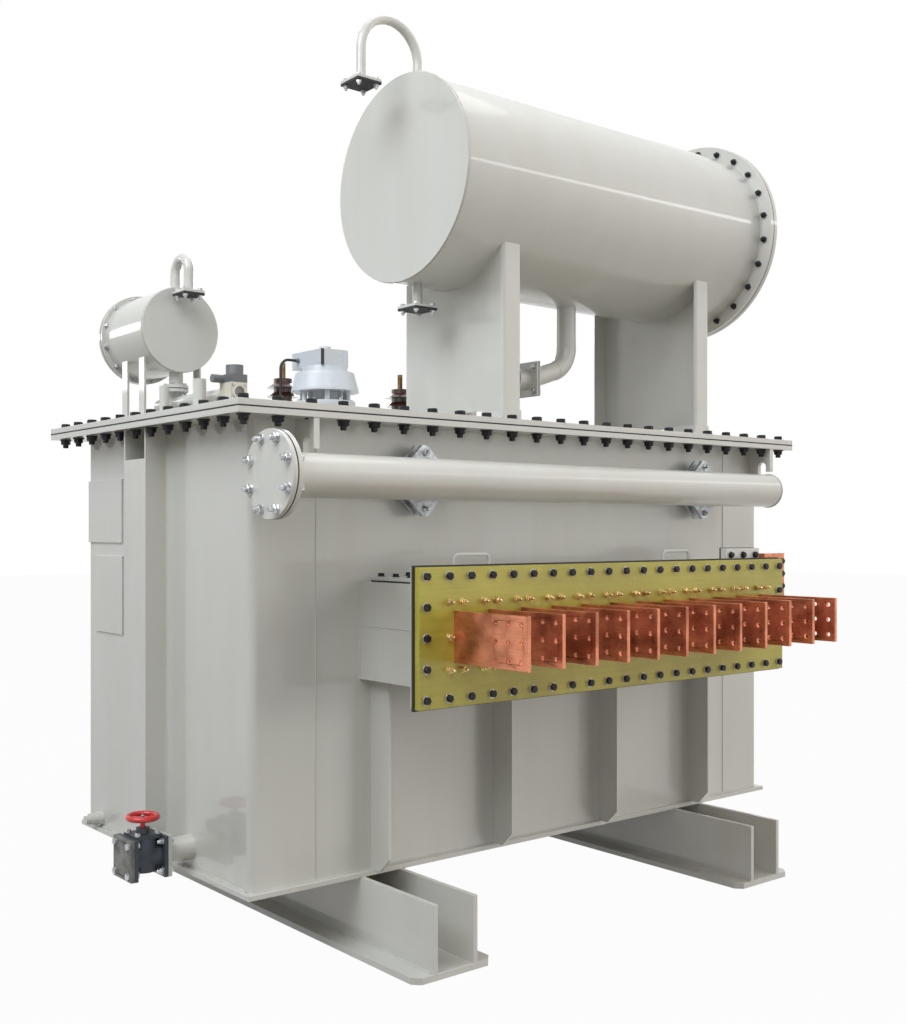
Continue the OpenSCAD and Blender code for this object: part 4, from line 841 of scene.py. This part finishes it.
def pipe_welds():
    """Beads round the conservators' heads and ring, and at both ends of the header."""
    head, small, blank = mid_of("conservator_head"), mid_of("small_conservator_head"), mid_of("header_blank")
    cover_low, cover_high = low_of("conservator_cover"), high_of("conservator_cover")
    ring_x = 2 * cover_low.x - cover_high.x - SEAL
    r = 0.5 * (high_of("conservator_head").z - low_of("conservator_head").z)
    small_r = 0.5 * (high_of("small_conservator_head").z - low_of("small_conservator_head").z)
    flange_x = low_of("header_pipe").x + high_of("header_blank").x - low_of("header_blank").x
    circles = [
        ((high_of("conservator_head").x, head.y, head.z), "X", r - HEAD_BEAD_SINK),
        ((ring_x, head.y, head.z), "X", r),
        ((small.x, high_of("small_conservator_head").y, small.z), "Y", small_r - HEAD_BEAD_SINK),
        ((flange_x, blank.y, blank.z), "X", HEADER_R),
        ((high_of("header_pipe").x - HEADER_CAP, blank.y, blank.z), "X", HEADER_CAP_R),
    ]
    weld_rings("pipe_welds", circles, JOINT_BEAD)


PHOTO_HEIGHT = 1024
FOCAL_PIXELS = 1198.68
SENSOR = 36.0
SHIFT_X_PIXELS, SHIFT_Y_PIXELS = 66.9, 18.8
CAMERA_PLACE, CAMERA_TURN = (-2.98721, -3.51142, 1.2701), -37.67


def add_camera():
    """The photograph's camera: level, 38 degrees round to the left of the front."""
    data = bpy.data.cameras.new("camera")
    data.sensor_width = SENSOR
    data.lens = FOCAL_PIXELS / PHOTO_HEIGHT * SENSOR
    data.shift_x = SHIFT_X_PIXELS / PHOTO_HEIGHT
    data.shift_y = SHIFT_Y_PIXELS / PHOTO_HEIGHT
    camera = bpy.data.objects.new("camera", data)
    camera.location = CAMERA_PLACE
    camera.rotation_euler = (math.radians(90), 0, math.radians(CAMERA_TURN))
    bpy.context.collection.objects.link(camera)
    bpy.context.scene.camera = camera


def add_lamp(name, place, aim, size, power, colour, height=None, mirrored=True):
    """A round soft lamp, or a strip of the given height. One that isn't mirrored shows in no reflection."""
    data = bpy.data.lights.new(name, "AREA")
    data.shape = "RECTANGLE" if height else "DISK"
    data.size = size
    data.size_y = height or size
    data.energy = power
    data.color = colour
    lamp = bpy.data.objects.new(name, data)
    lamp.location = place
    lamp.visible_glossy = mirrored
    lamp.rotation_euler = (Vector(aim) - Vector(place)).to_track_quat("-Z", "Y").to_euler()
    bpy.context.collection.objects.link(lamp)


def background_rays(tree):
    """One for the rays that see the white background: the camera's, mirrored and refracted ones."""
    path = tree.nodes.new("ShaderNodeLightPath")
    rays = path.outputs["Is Camera Ray"]
    for name in ("Is Glossy Ray", "Is Transmission Ray"):
        either = tree.nodes.new("ShaderNodeMath")
        either.operation = "MAXIMUM"
        tree.links.new(rays, either.inputs[0])
        tree.links.new(path.outputs[name], either.inputs[1])
        rays = either.outputs["Value"]
    return rays


# The bright side: its direction, the cosines where it begins and is full, and light away from and toward it
GLOW_TOWARD = Vector((0.93, -0.36, 0.08)).normalized()
GLOW_BEGINS, GLOW_FULL = 0.78, 0.98
COOL, WARM = (0.93, 0.96, 1.0), (1.0, 0.94, 0.85)
AMBIENT, GLOW = 0.26, 4.4


def add_world():
    """Soft light from all round, brighter from the front right. The camera and reflections see plain white."""
    world = bpy.data.worlds.new("studio")
    bpy.context.scene.world = world
    world.use_nodes = True
    tree = world.node_tree
    tree.nodes.clear()
    light = tree.nodes.new("ShaderNodeBackground")
    coords = tree.nodes.new("ShaderNodeTexCoord")
    toward = tree.nodes.new("ShaderNodeVectorMath")
    toward.operation = "DOT_PRODUCT"
    toward.inputs[1].default_value = GLOW_TOWARD
    tree.links.new(coords.outputs["Generated"], toward.inputs[0])
    glow = span(tree, toward.outputs["Value"], 0, 1, GLOW_BEGINS, GLOW_FULL)
    tree.links.new(ramp(tree, glow, [(0, COOL), (1, WARM)]), light.inputs["Color"])
    tree.links.new(span(tree, glow, AMBIENT, GLOW, 0, 1), light.inputs["Strength"])
    white = tree.nodes.new("ShaderNodeBackground")
    white.inputs["Color"].default_value = (*WHITE, 1)
    white.inputs["Strength"].default_value = 1.0
    mix = tree.nodes.new("ShaderNodeMixShader")
    out = tree.nodes.new("ShaderNodeOutputWorld")
    tree.links.new(background_rays(tree), mix.inputs["Fac"])
    tree.links.new(light.outputs["Background"], mix.inputs[1])
    tree.links.new(white.outputs["Background"], mix.inputs[2])
    tree.links.new(mix.outputs["Shader"], out.inputs["Surface"])


FLOOR_REACH, FLOOR_ROUGHNESS = 30.0, 0.9
FLOOR_COLOUR = (0.16, 0.14, 0.10)
# Share of white in the floor as the camera and reflections see it
FLOOR_WHITE = 0.97


def add_floor():
    """A wide floor that looks pale to the camera and keeps the object's shadow."""
    r = FLOOR_REACH
    corners = [(-r, -r, 0), (r, -r, 0), (r, r, 0), (-r, r, 0)]
    mesh = bpy.data.meshes.new("floor")
    mesh.from_pydata(corners, [], [(0, 1, 2, 3)])
    mat, tree, shader = new_material("floor", FLOOR_ROUGHNESS)
    shader.inputs["Base Color"].default_value = (*FLOOR_COLOUR, 1)
    glow = tree.nodes.new("ShaderNodeEmission")
    glow.inputs["Strength"].default_value = 1.0
    mix = tree.nodes.new("ShaderNodeMixShader")
    amount = tree.nodes.new("ShaderNodeMath")
    amount.operation = "MULTIPLY"
    amount.inputs[1].default_value = FLOOR_WHITE
    tree.links.new(background_rays(tree), amount.inputs[0])
    tree.links.new(amount.outputs["Value"], mix.inputs["Fac"])
    tree.links.new(shader.outputs["BSDF"], mix.inputs[1])
    tree.links.new(glow.outputs["Emission"], mix.inputs[2])
    tree.links.new(mix.outputs["Shader"], tree.nodes["Material Output"].inputs["Surface"])
    mesh.materials.append(mat)
    floor = bpy.data.objects.new("floor", mesh)
    bpy.context.collection.objects.link(floor)


for make in (
    cover_bolts, board_bolts, lid_bolts, header_bolts, header_valve_bolts, conservator_bolts,
    small_conservator_bolts, pipe_flange_bolts, drain_bolts, end_cover_bolts, relief_details,
    tail_flange_details, neck_flanges, relay_window, terminal_studs, tank_welds, rib_welds, box_welds,
    skid_welds, support_welds, pipe_welds,
):
    make()

add_camera()
add_world()
add_floor()
# Each lamp: place, aim, size in metres, watts, colour, and the height where it is a strip
add_lamp("key", (-3.2, -4.6, 6.2), (0, -0.2, 1.4), 4.0, 104, (1.0, 0.98, 0.96))
add_lamp("left", (-5.0, -1.0, 5.6), (-1.0, -0.3, 1.9), 4.4, 300, (0.91, 0.96, 1.0))
add_lamp("top", (0.8, -0.6, 7.0), (0.3, -0.2, 1.5), 5.0, 75, (1.0, 0.99, 0.98))
add_lamp("back", (3.6, 4.4, 4.6), (0, 0, 1.4), 4.0, 170, (0.97, 0.98, 1.0))
add_lamp("window", (4.9, -5.0, 4.2), (0.3, -0.6, 2.4), 6.0, 28, (1.0, 0.99, 0.98), 0.3)
add_lamp("rear_window", (-3.58, 5.4, 2.95), (-1.0, 0.2, 2.0), 0.5, 10, (1.0, 1.0, 1.0), 1.1)
add_lamp("fill_right", (2.4, -4.0, 0.9), (1.0, -0.6, 0.5), 1.5, 19, (1.0, 0.97, 0.92), mirrored=False)
add_lamp("fill_left", (-2.2, -5.0, 0.7), (0.2, -0.7, 0.4), 1.5, 11, (0.97, 0.98, 1.0), mirrored=False)
bpy.context.scene.view_settings.view_transform = "Standard"
